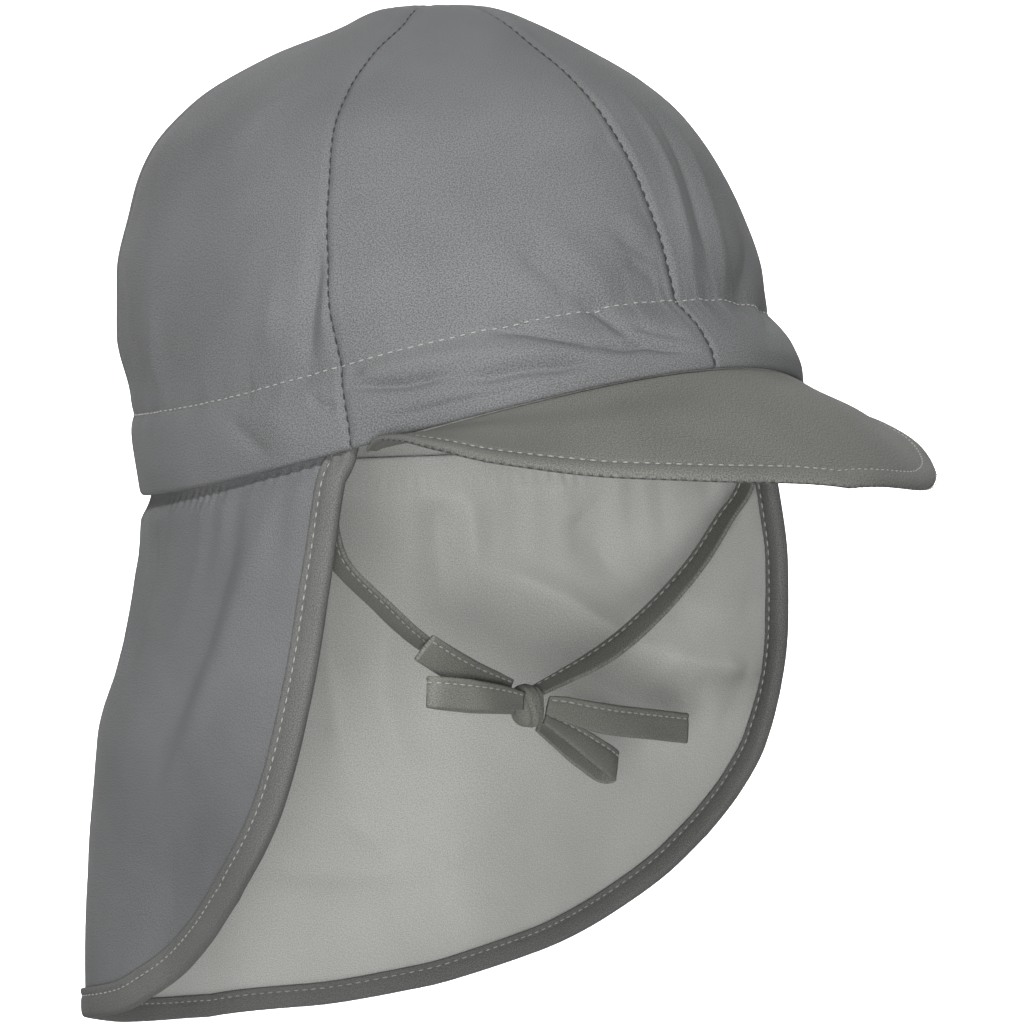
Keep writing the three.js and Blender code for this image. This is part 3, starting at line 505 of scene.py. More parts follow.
def flap_surface(angle, depth, offset=0.0):
    tuck = FLAP_INSET * (1 - 0.65 * ease((depth - 0.5) / 6))
    folds = fold_lift(FLAP_FOLDS, angle, depth) * ease((depth - 1) / 9)
    arc = np.radians(angle) * ROUND_FLAP
    slow = FLAP_WAVE * undulation(arc, depth * 0.45, 31, 44) * ease((depth - 4) / 20)
    x, y = hem_plan(angle, 1 + flap_flare(angle, depth))
    out = unit(np.stack([x / HEAD_WIDTH**2, y / HEAD_LENGTH**2], -1))
    above = np.clip(-depth / (CROWN_HEIGHT - hem_height(angle)), 0, 1)
    follow = np.minimum(crown_lift(angle, above, False), 0)
    push = offset + folds + slow + flap_gathers(angle, depth) - tuck + follow
    z = hem_height(angle) - depth
    return np.stack([x + out[..., 0] * push, y + out[..., 1] * push, z], -1)


# Meshes.


def add_object(name, mesh, materials):
    for material in materials:
        mesh.materials.append(material)
    thing = bpy.data.objects.new(name, mesh)
    bpy.context.scene.collection.objects.link(thing)
    return thing


def smooth_piece(name, points, faces, uv, materials, slots=None):
    """A smooth piece from points and faces, with a place in the cloth's map for each point."""
    mesh = bpy.data.meshes.new(name)
    mesh.from_pydata(points.tolist(), [], faces)
    mesh.polygons.foreach_set("use_smooth", np.ones(len(faces), bool))
    if slots is not None:
        mesh.polygons.foreach_set("material_index", slots)
    layer = mesh.uv_layers.new(name="cloth")
    corner = np.empty(len(mesh.loops), int)
    mesh.loops.foreach_get("vertex_index", corner)
    layer.data.foreach_set("uv", uv[corner].ravel())
    mesh.update()
    return add_object(name, mesh, materials)


def sheet_mesh(name, outer, inner, materials):
    """A sheet with thickness from two grids in millimetres; its inside takes the second material."""
    rows, columns = outer.shape[:2]
    points = np.concatenate([outer.reshape(-1, 3), inner.reshape(-1, 3)]) * MM
    r, c = np.meshgrid(np.arange(rows - 1), np.arange(columns - 1), indexing="ij")
    a = (r * columns + c).ravel()
    layer = rows * columns
    top = np.stack([a, a + 1, a + columns + 1, a + columns], -1)
    under = np.stack([a, a + columns, a + columns + 1, a + 1], -1) + layer
    i = np.arange(rows - 1) * columns
    first = np.stack([i, i + columns, i + columns + layer, i + layer], -1)
    j = i + columns - 1
    last = np.stack([j, j + layer, j + columns + layer, j + columns], -1)
    k = np.arange(columns - 1)
    start = np.stack([k, k + layer, k + 1 + layer, k + 1], -1)
    m = k + (rows - 1) * columns
    end = np.stack([m, m + 1, m + 1 + layer, m + layer], -1)
    faces = np.concatenate([top, under, first, last, start, end])
    slots = np.zeros(len(faces), int)
    slots[len(top) : len(top) + len(under)] = 1
    halves = (points[faces[:, [0, 1, 2]]], points[faces[:, [0, 2, 3]]])
    if sum((t[:, 0] * np.cross(t[:, 1], t[:, 2])).sum() for t in halves) < 0:
        faces = faces[:, ::-1]
    uv = grid_uv(outer).reshape(-1, 2)
    return smooth_piece(name, points, faces.tolist(), np.concatenate([uv, uv]), materials, slots)


def grid_uv(grid):
    """Lengths along and down the grid, in metres, as its UV map."""
    along = np.linalg.norm(np.diff(grid, axis=1), axis=-1).mean(0)
    down = np.linalg.norm(np.diff(grid, axis=0), axis=-1).mean(1)
    u = np.concatenate([[0], np.cumsum(along)])
    v = np.concatenate([[0], np.cumsum(down)])
    return np.stack(np.meshgrid(u, v), -1) * MM


def finish_piece(piece, slot, *nodes):
    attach(piece, "root")
    if nodes:
        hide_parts(*nodes)
    return piece


# Materials.

CLOTH_THREADS = 2200.0
TAPE_THREADS = 2600.0
CLOTH_GRAIN = 3200.0
CLOTH_BUMP = 0.35
MOTTLE_PATCHES = 26.0


def group_socket(tree, name, way, kind, value=None):
    socket = tree.interface.new_socket(name=name, in_out=way, socket_type="NodeSocket" + kind)
    if value is not None:
        socket.default_value = value


def feed(tree, node, inputs):
    """Each named input takes a value, a socket, or another node's first socket."""
    for name, value in inputs.items():
        if isinstance(value, bpy.types.Node):
            value = value.outputs[0]
        if isinstance(value, bpy.types.NodeSocket):
            tree.links.new(value, node.inputs[name])
        else:
            node.inputs[name].default_value = value


def add_node(tree, kind, inputs=(), **settings):
    node = tree.nodes.new(kind)
    for name, value in settings.items():
        setattr(node, name, value)
    feed(tree, node, dict(inputs))
    return node


def maths(tree, operation, *values, **settings):
    inputs = enumerate(values)
    return add_node(tree, "ShaderNodeMath", inputs, operation=operation, **settings)


def new_material(name):
    material = bpy.data.materials.new(name)
    material.use_nodes = True
    tree = material.node_tree
    return material, tree, tree.nodes["Principled BSDF"]


def weave_group():
    """The fine weave: a height and a grain mask from the cloth's own map."""
    tree = bpy.data.node_groups.new("fine_weave", "ShaderNodeTree")
    group_socket(tree, "Threads per metre", "INPUT", "Float", CLOTH_THREADS)
    group_socket(tree, "Height", "OUTPUT", "Float")
    group_socket(tree, "Grain", "OUTPUT", "Float")
    threads = add_node(tree, "NodeGroupInput").outputs["Threads per metre"]
    place = add_node(tree, "ShaderNodeUVMap", uv_map="cloth")
    split = add_node(tree, "ShaderNodeSeparateXYZ", {0: place})
    turns = maths(tree, "MULTIPLY", threads, math.pi * 2)
    across = maths(tree, "SINE", maths(tree, "MULTIPLY", split.outputs["X"], turns))
    down = maths(tree, "SINE", maths(tree, "MULTIPLY", split.outputs["Y"], turns))
    weave = maths(tree, "MULTIPLY", across, down)
    grain = add_node(
        tree,
        "ShaderNodeTexNoise",
        {"Detail": 3.0, "Roughness": 0.65, "Vector": place, "Scale": CLOTH_GRAIN},
        noise_dimensions="3D",
    )
    height = maths(tree, "ADD", maths(tree, "MULTIPLY", weave, 0.35), grain)
    add_node(tree, "NodeGroupOutput", {"Height": height, "Grain": grain})
    return tree


def mottle_group():
    """Slow, faint changes of shade over the cloth, and the grain of the weave in its colour."""
    tree = bpy.data.node_groups.new("cloth_shade", "ShaderNodeTree")
    group_socket(tree, "Light", "INPUT", "Color", (0.3, 0.3, 0.3, 1))
    group_socket(tree, "Dark", "INPUT", "Color", (0.2, 0.2, 0.2, 1))
    group_socket(tree, "Grain", "INPUT", "Float", 0.5)
    group_socket(tree, "Color", "OUTPUT", "Color")
    given = add_node(tree, "NodeGroupInput").outputs
    place = add_node(tree, "ShaderNodeTexCoord").outputs["Object"]
    noise = add_node(
        tree, "ShaderNodeTexNoise", {"Vector": place, "Detail": 4.0, "Scale": MOTTLE_PATCHES}
    )
    slow = maths(tree, "MULTIPLY_ADD", noise, 1.1, -0.55)
    fine = maths(tree, "MULTIPLY_ADD", given["Grain"], 6.0, -2.5)
    both = maths(tree, "ADD", slow, fine, use_clamp=True)
    shades = {"Factor": both, "A": given["Dark"], "B": given["Light"]}
    blend = add_node(tree, "ShaderNodeMix", shades, data_type="RGBA")
    add_node(tree, "NodeGroupOutput", {"Color": blend.outputs["Result"]})
    return tree


WEAVE = weave_group()
SHADE = mottle_group()


def linear(rgb):
    out = []
    for value in rgb:
        v = value / 255.0
        out.append(v / 12.92 if v <= 0.04045 else ((v + 0.055) / 1.055) ** 2.4)
    return (*out, 1.0)


def cloth(name, light, dark, threads=CLOTH_THREADS):
    material, tree, shader = new_material(name)
    weave = add_node(tree, "ShaderNodeGroup", node_tree=WEAVE)
    feed(tree, weave, {"Threads per metre": threads})
    shade = add_node(tree, "ShaderNodeGroup", node_tree=SHADE)
    shades = {"Light": linear(light), "Dark": linear(dark), "Grain": weave.outputs["Grain"]}
    feed(tree, shade, shades)
    relief = {"Strength": CLOTH_BUMP, "Distance": 0.00025, "Height": weave.outputs["Height"]}
    look = {
        "Base Color": shade.outputs["Color"],
        "Normal": add_node(tree, "ShaderNodeBump", relief),
        "Roughness": 0.8,
        "Sheen Weight": 0.03,
        "Sheen Roughness": 0.45,
        "Specular IOR Level": 0.12,
    }
    feed(tree, shader, look)
    return material


def thread(name, colour):
    material, tree, shader = new_material(name)
    place = add_node(tree, "ShaderNodeTexCoord").outputs["Object"]
    strands = add_node(tree, "ShaderNodeTexNoise", {"Scale": 5200.0, "Vector": place})
    dark, light = [0.86 * v for v in colour], [min(255, 1.1 * v) for v in colour]
    shades = {"A": linear(dark), "B": linear(light), "Factor": strands}
    blend = add_node(tree, "ShaderNodeMix", shades, data_type="RGBA").outputs["Result"]
    feed(tree, shader, {"Base Color": blend, "Roughness": 0.55, "Sheen Weight": 0.2})
    return material


OUTSIDE = cloth("grey_cloth", (133, 134, 135), (97, 98, 99))
INSIDE = cloth("grey_cloth_inside", (205, 205, 202), (172, 172, 169))
BRIM_CLOTH = cloth("brim_cloth", (131, 132, 127), (97, 98, 94))
TAPE_CLOTH = cloth("tape_cloth", (139, 139, 133), (104, 104, 99), TAPE_THREADS)
BINDING_CLOTH = cloth("binding_cloth", (124, 125, 123), (92, 93, 91), TAPE_THREADS)
LIGHT_THREAD = thread("light_thread", (172, 171, 167))
DARK_THREAD = thread("dark_thread", (50, 51, 52))

# Stitches.

STITCH_UNEVENNESS = 0.12


def stitch_tree():
    """Stitches along a path: a grain-shaped thread at every pitch, lying along it and facing out."""
    tree = bpy.data.node_groups.new("stitches", "GeometryNodeTree")
    group_socket(tree, "Path", "INPUT", "Geometry")
    for name in ("Pitch", "Length", "Width", "Unevenness"):
        group_socket(tree, name, "INPUT", "Float", 0.002)
    group_socket(tree, "Seed", "INPUT", "Int", 1)
    group_socket(tree, "Thread", "INPUT", "Material")
    group_socket(tree, "Stitches", "OUTPUT", "Geometry")

    def add(kind, inputs=(), prefix="GeometryNode", **settings):
        return add_node(tree, prefix + kind, inputs, **settings)

    given = add("GroupInput", prefix="Node").outputs
    curve = add("MeshToCurve", {"Mesh": given["Path"]})
    steps = {"Curve": curve, "Length": given["Pitch"]}
    points = add("CurveToPoints", steps, mode="LENGTH")
    dash = add("MeshUVSphere", {"Segments": 6, "Rings": 4, "Radius": 0.5})
    outwards = add("InputNamedAttribute", {"Name": "outwards"}, data_type="FLOAT_VECTOR")
    turn = "AlignRotationToVector"
    along = add(turn, {"Vector": points.outputs["Tangent"]}, "FunctionNode", axis="X")
    facing = {"Rotation": along, "Vector": outwards.outputs["Attribute"]}
    facing = add(turn, facing, "FunctionNode", axis="Z", pivot_axis="X")
    spread = {2: -1.0, 3: 1.0, "Seed": given["Seed"]}
    chance = add("RandomValue", spread, "FunctionNode", data_type="FLOAT")
    vary = maths(tree, "MULTIPLY_ADD", chance.outputs[1], given["Unevenness"], 1.0)
    length = maths(tree, "MULTIPLY", given["Length"], vary)
    size = {"X": length, "Y": given["Width"], "Z": given["Width"]}
    size = add("CombineXYZ", size, "ShaderNode")
    placed = {"Points": points, "Instance": dash, "Rotation": facing, "Scale": size}
    real = add("RealizeInstances", {"Geometry": add("InstanceOnPoints", placed)})
    smooth = add("SetShadeSmooth", {"Geometry": real})
    colour = add("SetMaterial", {"Geometry": smooth, "Material": given["Thread"]})
    add("GroupOutput", {"Stitches": colour}, "Node")
    return tree


STITCHES = stitch_tree()


def sew(name, paths, material, slot, pitch, length, width, seed):
    """Stitches along paths, each a pair of points and outward directions in millimetres."""
    points, edges, outs = [], [], []
    for path, outward in paths:
        start = len(points)
        points.extend((np.asarray(path) * MM).tolist())
        outs.extend(unit(np.asarray(outward, float)).tolist())
        edges.extend((start + k, start + k + 1) for k in range(len(path) - 1))
    mesh = bpy.data.meshes.new(name + "_path")
    mesh.from_pydata(points, edges, [])
    attribute = mesh.attributes.new("outwards", "FLOAT_VECTOR", "POINT")
    attribute.data.foreach_set("vector", np.asarray(outs, float).ravel())
    guide = add_object(name + "_path", mesh, [])
    modifier = guide.modifiers.new("stitches", "NODES")
    modifier.node_group = STITCHES
    wanted = {"Pitch": pitch * MM, "Length": length * MM, "Width": width * MM}
    wanted.update({"Unevenness": STITCH_UNEVENNESS, "Seed": seed, "Thread": material})
    for item in STITCHES.interface.items_tree:
        if item.name in wanted:
            modifier[item.identifier] = wanted[item.name]
    bpy.context.view_layer.update()
    ready = guide.evaluated_get(bpy.context.evaluated_depsgraph_get())
    made = bpy.data.meshes.new_from_object(ready)
    made.name = name
    bpy.data.objects.remove(guide)
    return finish_piece(add_object(name, made, []), slot)


# The crown.

PANEL_COLUMNS = 120
CASING_ROWS = 36
UPPER_ROWS = 84
PANEL_GAP = 0.07
SEAM_STEPS = 160
THREAD_LIFT = 0.12
HEM_ROUNDING_TOP = 1.4
# Rounded hem: millimetres up, then how far its outer and inner faces stand back.
HEM_ROUNDING = [(0.0, -0.62, -1.12), (0.25, -0.28, -1.42), (0.7, -0.06, -1.64)]


def crown_panel(panel):
    t = np.linspace(0, 1, PANEL_COLUMNS + 1)
    t = mix(t, ease(t), 0.55)
    middle = mix(panel["from"], panel["to"], t)
    total = CROWN_HEIGHT - hem_height(middle)
    stitch = casing_rise(middle) / total
    above = stitch + 0.5 / total
    rows = [(rise / total, outside, inside) for rise, outside, inside in HEM_ROUNDING]
    for k in range(CASING_ROWS + 1):
        rows.append((mix(HEM_ROUNDING_TOP / total, stitch, k / CASING_ROWS), 0.0, -CASING_CLOTH))
    rows.append((above, 0.0, -CLOTH * 1.1))
    for k in range(1, UPPER_ROWS + 1):
        up = 1 - (1 - k / UPPER_ROWS) ** 1.25
        rows.append((mix(above, 0.9985, up), 0.0, -CLOTH))
    share = np.array([np.broadcast_to(row[0], middle.shape) for row in rows])
    outside, inside = np.array([row[1:] for row in rows]).T[..., None]
    here, there = crown_shape(middle, share), crown_shape(middle + 0.5, share)
    trim = PANEL_GAP / np.linalg.norm(here - there, axis=-1) * 0.5
    trim = np.minimum(trim, (panel["to"] - panel["from"]) * 0.4)
    angle = mix(panel["from"] + trim, panel["to"] - trim, t)
    outer = crown_point(angle, share, outside)
    inner = crown_point(angle, share, inside)
    piece = sheet_mesh(panel["name"] + "_cloth", outer, inner, [OUTSIDE, INSIDE])
    return finish_piece(piece, "crown_cloth", panel["name"])


def make_crown():
    for panel in CROWN_PANELS:
        crown_panel(panel)
    seams = []
    for panel in CROWN_PANELS:
        total = CROWN_HEIGHT - hem_height(panel["from"])
        share = np.linspace(1.5 / total, 0.985, SEAM_STEPS)
        angle = np.full(SEAM_STEPS, float(panel["from"]))
        seams.append((crown_point(angle, share, THREAD_LIFT), crown_normal(angle, share)))
    sew("seam_stitches", seams, DARK_THREAD, "crown_cloth", 2.7, 1.9, 0.5, 3)
    angle = np.linspace(2, 362, 720)
    share = casing_rise(angle) / (CROWN_HEIGHT - hem_height(angle))
    line = [(crown_point(angle, share, THREAD_LIFT), crown_normal(angle, share))]
    sew("casing_stitches", line, LIGHT_THREAD, "crown_cloth", 2.5, 1.7, 0.38, 4)


# The brim.

BRIM_COLUMNS = 260
BRIM_ROWS = 56
BRIM_STEPS = 500
BRIM_STITCH_INSET = 4.5
BRIM_GROOVE = 0.3
BRIM_ROLL = 0.25
BRIM_WAVE = 0.25


def brim_height(angle, out):
    """The brim's top face with its topstitch groove."""
    p = brim_point(angle, out)
    away = np.linalg.norm(brim_point(angle, np.ones_like(out)) - p, axis=-1)
    groove = BRIM_GROOVE * np.exp(-(((away - BRIM_STITCH_INSET) / 0.8) ** 2))
    roll = BRIM_ROLL * np.exp(-(((away - 2.2) / 1.6) ** 2))
    soft = BRIM_WAVE * undulation(p[..., 0], p[..., 1], 41, 40) * ease(out * 3)
    p[..., 2] += roll - groove + soft
    return p


def brim_half(angle):
    """Half the brim's thickness: it thins out towards its two ends."""
    end = BRIM_OUTLINE["angle"][-1]
    return mix(BRIM_ROOT_THICKNESS, BRIM_THICKNESS, ease((end - np.abs(angle)) / BRIM_ROOT_ANGLE)) / 2


def make_brim():
    end = BRIM_OUTLINE["angle"][-1]
    t = np.linspace(-1, 1, BRIM_COLUMNS + 1)
    angle = end * np.sign(t) * (1 - (1 - np.abs(t)) ** 1.25)
    out = 1 - (1 - np.linspace(0, 1, BRIM_ROWS + 1)) ** 1.35
    aa, oo = np.meshgrid(angle, out)
    top = brim_height(aa, oo)
    away = np.linalg.norm(brim_point(aa, np.ones_like(oo)) - brim_point(aa, oo), axis=-1)
    half = brim_half(aa)
    thick = half * np.sqrt(np.clip(1 - (1 - np.clip(away / half, 0, 1)) ** 2, 0.02, 1))
    upper, under = top.copy(), top.copy()
    upper[..., 2] = top[..., 2] - half + thick
    under[..., 2] = top[..., 2] - half - thick
    piece = sheet_mesh("brim_cloth_piece", upper, under, [BRIM_CLOTH, BRIM_CLOTH])
    finish_piece(piece, "brim_cloth", "brim")
    angle = np.linspace(-60, 60, BRIM_STEPS)
    shares = np.linspace(0.3, 1, 240)
    aa, ss = np.meshgrid(angle, shares, indexing="ij")
    away = np.linalg.norm(brim_point(aa, np.ones_like(ss)) - brim_point(aa, ss), axis=-1)
    best = np.abs(away - BRIM_STITCH_INSET).argmin(1)
    path = brim_height(angle, shares[best])
    path[..., 2] += THREAD_LIFT
    line = [(path, np.tile([0, 0, 1.0], (BRIM_STEPS, 1)))]
    rim = brim_height(angle, np.ones(BRIM_STEPS))
    rim[..., 2] -= brim_half(angle) + 0.35
    outward = unit(rim - np.array([0, -30, 30.0]))
    rims = [(rim + outward * [0.25, 0.25, 0], outward * [1, 1, 0] - [0, 0, 0.8])]
    sew("brim_stitches", line, LIGHT_THREAD, "brim_cloth", 2.4, 1.5, 0.34, 5)
    sew("brim_rim_stitches", rims, DARK_THREAD, "brim_cloth", 2.3, 1.6, 0.36, 6)


# The neck flap and its binding.

FLAP_COLUMNS = 380
FLAP_ROWS = 104


def flap_edge(steps_side, steps_bottom, top_share):
    downs = np.linspace(top_share, 1, steps_side, endpoint=False)
    across = np.linspace(-1, 1, steps_bottom)
    sides = np.concatenate([np.full(steps_side, -1.0), across, np.full(steps_side, 1.0)])
    down = np.concatenate([downs, np.ones(steps_bottom), downs[::-1]])
    return flap_at(sides, down)


def edge_frame(angle, depth):
    """At each place of the free edge: the point, the normal and the steps that lead inwards."""
    points = flap_surface(angle, depth)
    along = unit(np.gradient(points, axis=0))
    per_degree = flap_surface(angle + 0.5, depth) - flap_surface(angle - 0.5, depth)
    per_down = flap_surface(angle, depth + 0.5) - flap_surface(angle, depth - 0.5)
    normal = unit(np.cross(per_degree, per_down))
    outwards = (normal[:, :2] * points[:, :2]).sum(1) < 0
    normal[outwards] *= -1
    inwards = unit(np.cross(normal, along))
    wrong = inwards @ np.array([0, 0.6, 0.8]) < 0
    inwards[wrong] *= -1

    def dot(a, b):
        return (a * b).sum(-1)

    aa, ad, dd = dot(per_degree, per_degree), dot(per_degree, per_down), dot(per_down, per_down)
    ia, iz = dot(inwards, per_degree), dot(inwards, per_down)
    det = aa * dd - ad * ad
    return points, normal, inwards, (ia * dd - iz * ad) / det, (iz * aa - ia * ad) / det


# Over the cloth: millimetres in from the edge, then the heights of the tape's two faces.
BINDING_SECTION = [
    (6.3, 0.45, 0.3),
    (6.22, 0.95, 0.3),
    (5.8, 1.12, 0.3),
    (5.0, 1.05, 0.3),
    (4.3, 0.78, 0.3),
    (3.6, 1.08, 0.3),
    (2.4, 1.25, 0.32),
    (1.2, 1.28, 0.35),
    (0.2, 1.2, 0.35),
]


def make_binding():
    angle, depth = flap_edge(110, 420, 0.03)
    points, normal, inwards, turn, drop = edge_frame(angle, depth)
    arc = np.concatenate([[0], np.cumsum(np.linalg.norm(np.diff(points, axis=0), axis=-1))])
    flat = 0 * arc
    ripple = 0.12 * undulation(arc, flat, 51, 9) + 0.1 * np.sin(arc * 2 * math.pi / 2.6)

    def on(w, n):
        base = flap_surface(angle + turn * w, depth + drop * w)
        return base + normal * (n + flat)[..., None]

    def off(w, n):
        return points + inwards * w + normal * (n + flat)[..., None]

    outer, inner = [], []
    for w, high, low in BINDING_SECTION:
        wave = ripple * (0.4 + 0.6 * (w > 3)) * (w < 6)
        outer.append(on(w, high + wave))
        inner.append(on(w, low))
    for step in range(1, 8):
        a = math.pi * step / 8
        outer.append(off(-0.25 - 0.95 * math.sin(a), -CLOTH / 2 + 1.65 * math.cos(a)))
        inner.append(off(-0.05 - 0.35 * math.sin(a), -CLOTH / 2 + 0.82 * math.cos(a)))
    for full, high, low in BINDING_SECTION[::-1]:
        w = full * BINDING_INSIDE / BINDING_OUTSIDE
        outer.append(on(w, -CLOTH - high + ripple * 0.5))
        inner.append(on(w, -CLOTH - low))
    cloths = [BINDING_CLOTH, BINDING_CLOTH]
    piece = sheet_mesh("flap_binding_tape", np.array(outer), np.array(inner), cloths)
    finish_piece(piece, "binding_tape", "flap_binding")
    lines = [(on(4.3, 0.9), normal), (on(3.5, -CLOTH - 0.95), -normal)]
    return sew("binding_stitches", lines, LIGHT_THREAD, "binding_tape", 2.4, 1.6, 0.34, 7)


def make_flap():
    side = np.linspace(-1, 1, FLAP_COLUMNS + 1)
    down = np.linspace(0, 1, FLAP_ROWS + 1)
    down = mix(down, down**1.6, 0.5)
    ss, dd = np.meshgrid(side, down)
    angle, depth = flap_at(ss, dd)
    outer = flap_surface(angle, depth)
    inner = flap_surface(angle, depth, -CLOTH)
    piece = sheet_mesh("neck_flap_cloth", outer, inner, [OUTSIDE, INSIDE])
    finish_piece(piece, "flap_cloth", "neck_flap")
    stitches = make_binding()


# Ties and bow.


def smooth_path(points, step):
    """A centripetal curve through given points, resampled evenly, in millimetres."""
    p = np.asarray(points, float)
    p = np.vstack([2 * p[0] - p[1], p, 2 * p[-1] - p[-2]])
    out = []
    for i in range(1, len(p) - 2):
        a, b, c, d = p[i - 1 : i + 3]
        t0 = 0.0
        t1 = t0 + np.linalg.norm(b - a) ** 0.5
        t2 = t1 + np.linalg.norm(c - b) ** 0.5
        t3 = t2 + np.linalg.norm(d - c) ** 0.5
        t = np.linspace(t1, t2, 40, endpoint=False)[:, None]
        a1 = (t1 - t) / (t1 - t0) * a + (t - t0) / (t1 - t0) * b
        a2 = (t2 - t) / (t2 - t1) * b + (t - t1) / (t2 - t1) * c
        a3 = (t3 - t) / (t3 - t2) * c + (t - t2) / (t3 - t2) * d
        b1 = (t2 - t) / (t2 - t0) * a1 + (t - t0) / (t2 - t0) * a2
        b2 = (t3 - t) / (t3 - t1) * a2 + (t - t1) / (t3 - t1) * a3
        out.append((t2 - t) / (t2 - t1) * b1 + (t - t1) / (t2 - t1) * b2)
    out = np.vstack([*out, p[-2]])
    length = np.concatenate([[0], np.cumsum(np.linalg.norm(np.diff(out, axis=0), axis=-1))])
    even = np.linspace(0, length[-1], max(8, round(length[-1] / step)) + 1)
    return np.stack([np.interp(even, length, out[:, k]) for k in range(3)], -1)


# The tape's upper face: places over its width and heights, as shares; the under face mirrors it.
TAPE_FACE = [
    (-0.5, 0.0),
    (-0.485, 0.3),
    (-0.45, 0.47),
    (-0.38, 0.5),
    (-0.15, 0.52),
    (0.12, 0.5),
    (0.23, 0.46),
    (0.3, 0.3),
    (0.36, 0.46),
    (0.42, 0.54),
    (0.475, 0.4),
    (0.5, 0.0),
]
TAPE_SECTION = TAPE_FACE + [(w, -up) for w, up in TAPE_FACE[-2:0:-1]]
TAPE_FULLNESS = 0.95
TAPE_STITCH = 0.3


def path_length(path):
    return float(np.linalg.norm(np.diff(path, axis=0), axis=-1).sum())


def tape_frame(path, start, end):
    along = unit(np.gradient(path, axis=0))
    t = ease(np.linspace(0, 1, len(path)))[:, None]
    wish = mix(np.array(start, float), np.array(end, float), t)
    across = unit(wish - along * (wish * along).sum(-1, keepdims=True))
    return across, np.cross(along, across)


def tape_widths(rows, path):
    """The tape's width at each step of its path: it is squeezed where it enters the knot."""
    places = [np.linalg.norm(path - np.array(at, float), axis=-1).argmin() for _, at, _ in rows]
    places[0], places[-1] = 0, len(path) - 1
    return TAPE_WIDTH * np.interp(np.arange(len(path)), places, [share for _, _, share in rows])


def tape(node, rows, start, end, seed, hand=1):
    """A flat sewn tape along its rows; hand says which edge its stitches follow."""
    path = smooth_path([at for _, at, _ in rows], 0.7)
    across, flat = tape_frame(path, start, end)
    width = tape_widths(rows, path)
    length = path_length(path)
    far = np.linspace(0, 1, len(path))
    chance = np.random.RandomState(seed)
    cup = 0.22 * np.sin(far * math.pi * chance.uniform(1.5, 3) + chance.uniform(0, 6))
    wave = 0.1 * undulation(far * length, 0 * far, seed, 14)
    section = np.array(TAPE_SECTION)
    w, thick = section[:, 0] * hand, section[:, 1] * TAPE_THICKNESS * TAPE_FULLNESS
    squeeze = 0.35 * (1 - width / TAPE_WIDTH)

    def lift(share, base):
        fold = squeeze * np.sin(share * math.pi * 5)
        return base + cup * 4 * share**2 + wave + fold

    side = width[:, None] * w[None, :]
    up = np.stack([lift(w[k], thick[k]) for k in range(len(w))], 1)
    grid = path[:, None, :] + across[:, None, :] * side[..., None] + flat[:, None, :] * up[..., None]
    rings, n = grid.shape[:2]
    faces = []
    for i in range(rings - 1):
        for k in range(n):
            a, b = i * n + k, i * n + (k + 1) % n
            faces.append((a, b, b + n, a + n))
    for ring, order in ((0, -1), (rings - 1, 1)):
        for k in range(n // 2 - 1):
            quad = (k, k + 1, n - 2 - k, n - 1 - k)[::order]
            faces.append(tuple(ring * n + v for v in quad))
    verts = grid.reshape(-1, 3) * MM
    volume = sum(
        float(np.dot(verts[f[0]], np.cross(verts[f[k]], verts[f[k + 1]])))
        for f in faces
        for k in range(1, len(f) - 1)
    )
    if volume < 0:
        faces = [f[::-1] for f in faces]
    uv = np.stack([np.repeat(far * length, n), np.tile(w * TAPE_WIDTH, rings)], -1) * MM
    piece = smooth_piece(node + "_tape", verts, faces, uv, [TAPE_CLOTH])
    finish_piece(piece, "tie_tape", node)
    lines = []
    inside = slice(2, len(path) - 2)
    share = TAPE_STITCH * hand
    for face in (1, -1):
        raised = lift(share, face * (0.3 * TAPE_THICKNESS * TAPE_FULLNESS + THREAD_LIFT))
        line = path + across * (share * width)[:, None] + flat * raised[:, None]
        lines.append((line[inside], (flat * face)[inside]))
    return piece, lines, path


def rounded(wave, power):
    return np.sign(wave) * np.abs(wave) ** power


def make_knot():
    polar = np.linspace(0.02, math.pi - 0.02, KNOT_RINGS)
    turn = np.linspace(0, 2 * math.pi, KNOT_AROUND, endpoint=False)
    pp, tt = np.meshgrid(polar, turn, indexing="ij")
    x = rounded(np.cos(tt), 0.8) * np.sin(pp) ** 0.75
    y = rounded(np.sin(tt), 0.8) * np.sin(pp) ** 0.75
    z = rounded(np.cos(pp), 0.85)
    bend = x * 0.9 + z * 0.35
    crease = 0.05 * np.cos(bend * 3)
    for depth, place, width in KNOT_CREASES:
        crease = crease - depth * np.exp(-(((bend - place) / width) ** 2))
    pinch = 1 - 0.06 * np.exp(-(((z - 0.05) / 0.35) ** 2))
    scale = (1 + crease)[..., None] * np.stack([pinch, pinch, np.ones_like(z)], -1)
    grid = np.stack([x, y, z], -1) * scale * np.array(KNOT_SIZE) / 2 + np.array(KNOT_AT)
    faces = []
    for i in range(KNOT_RINGS - 1):
        for k in range(KNOT_AROUND):
            a, b = i * KNOT_AROUND + k, i * KNOT_AROUND + (k + 1) % KNOT_AROUND
            faces.append((a, a + KNOT_AROUND, b + KNOT_AROUND, b))
    ring = range(KNOT_AROUND)
    faces.append(tuple(ring))
    faces.append(tuple((KNOT_RINGS - 1) * KNOT_AROUND + k for k in ring)[::-1])
    uv = np.stack([tt.ravel() * 4, pp.ravel() * 5], -1) * MM
    verts = grid.reshape(-1, 3) * MM
    piece = smooth_piece("bow_knot_cloth", verts, faces, uv, [TAPE_CLOTH])
    return finish_piece(piece, "tie_tape", "bow_knot")


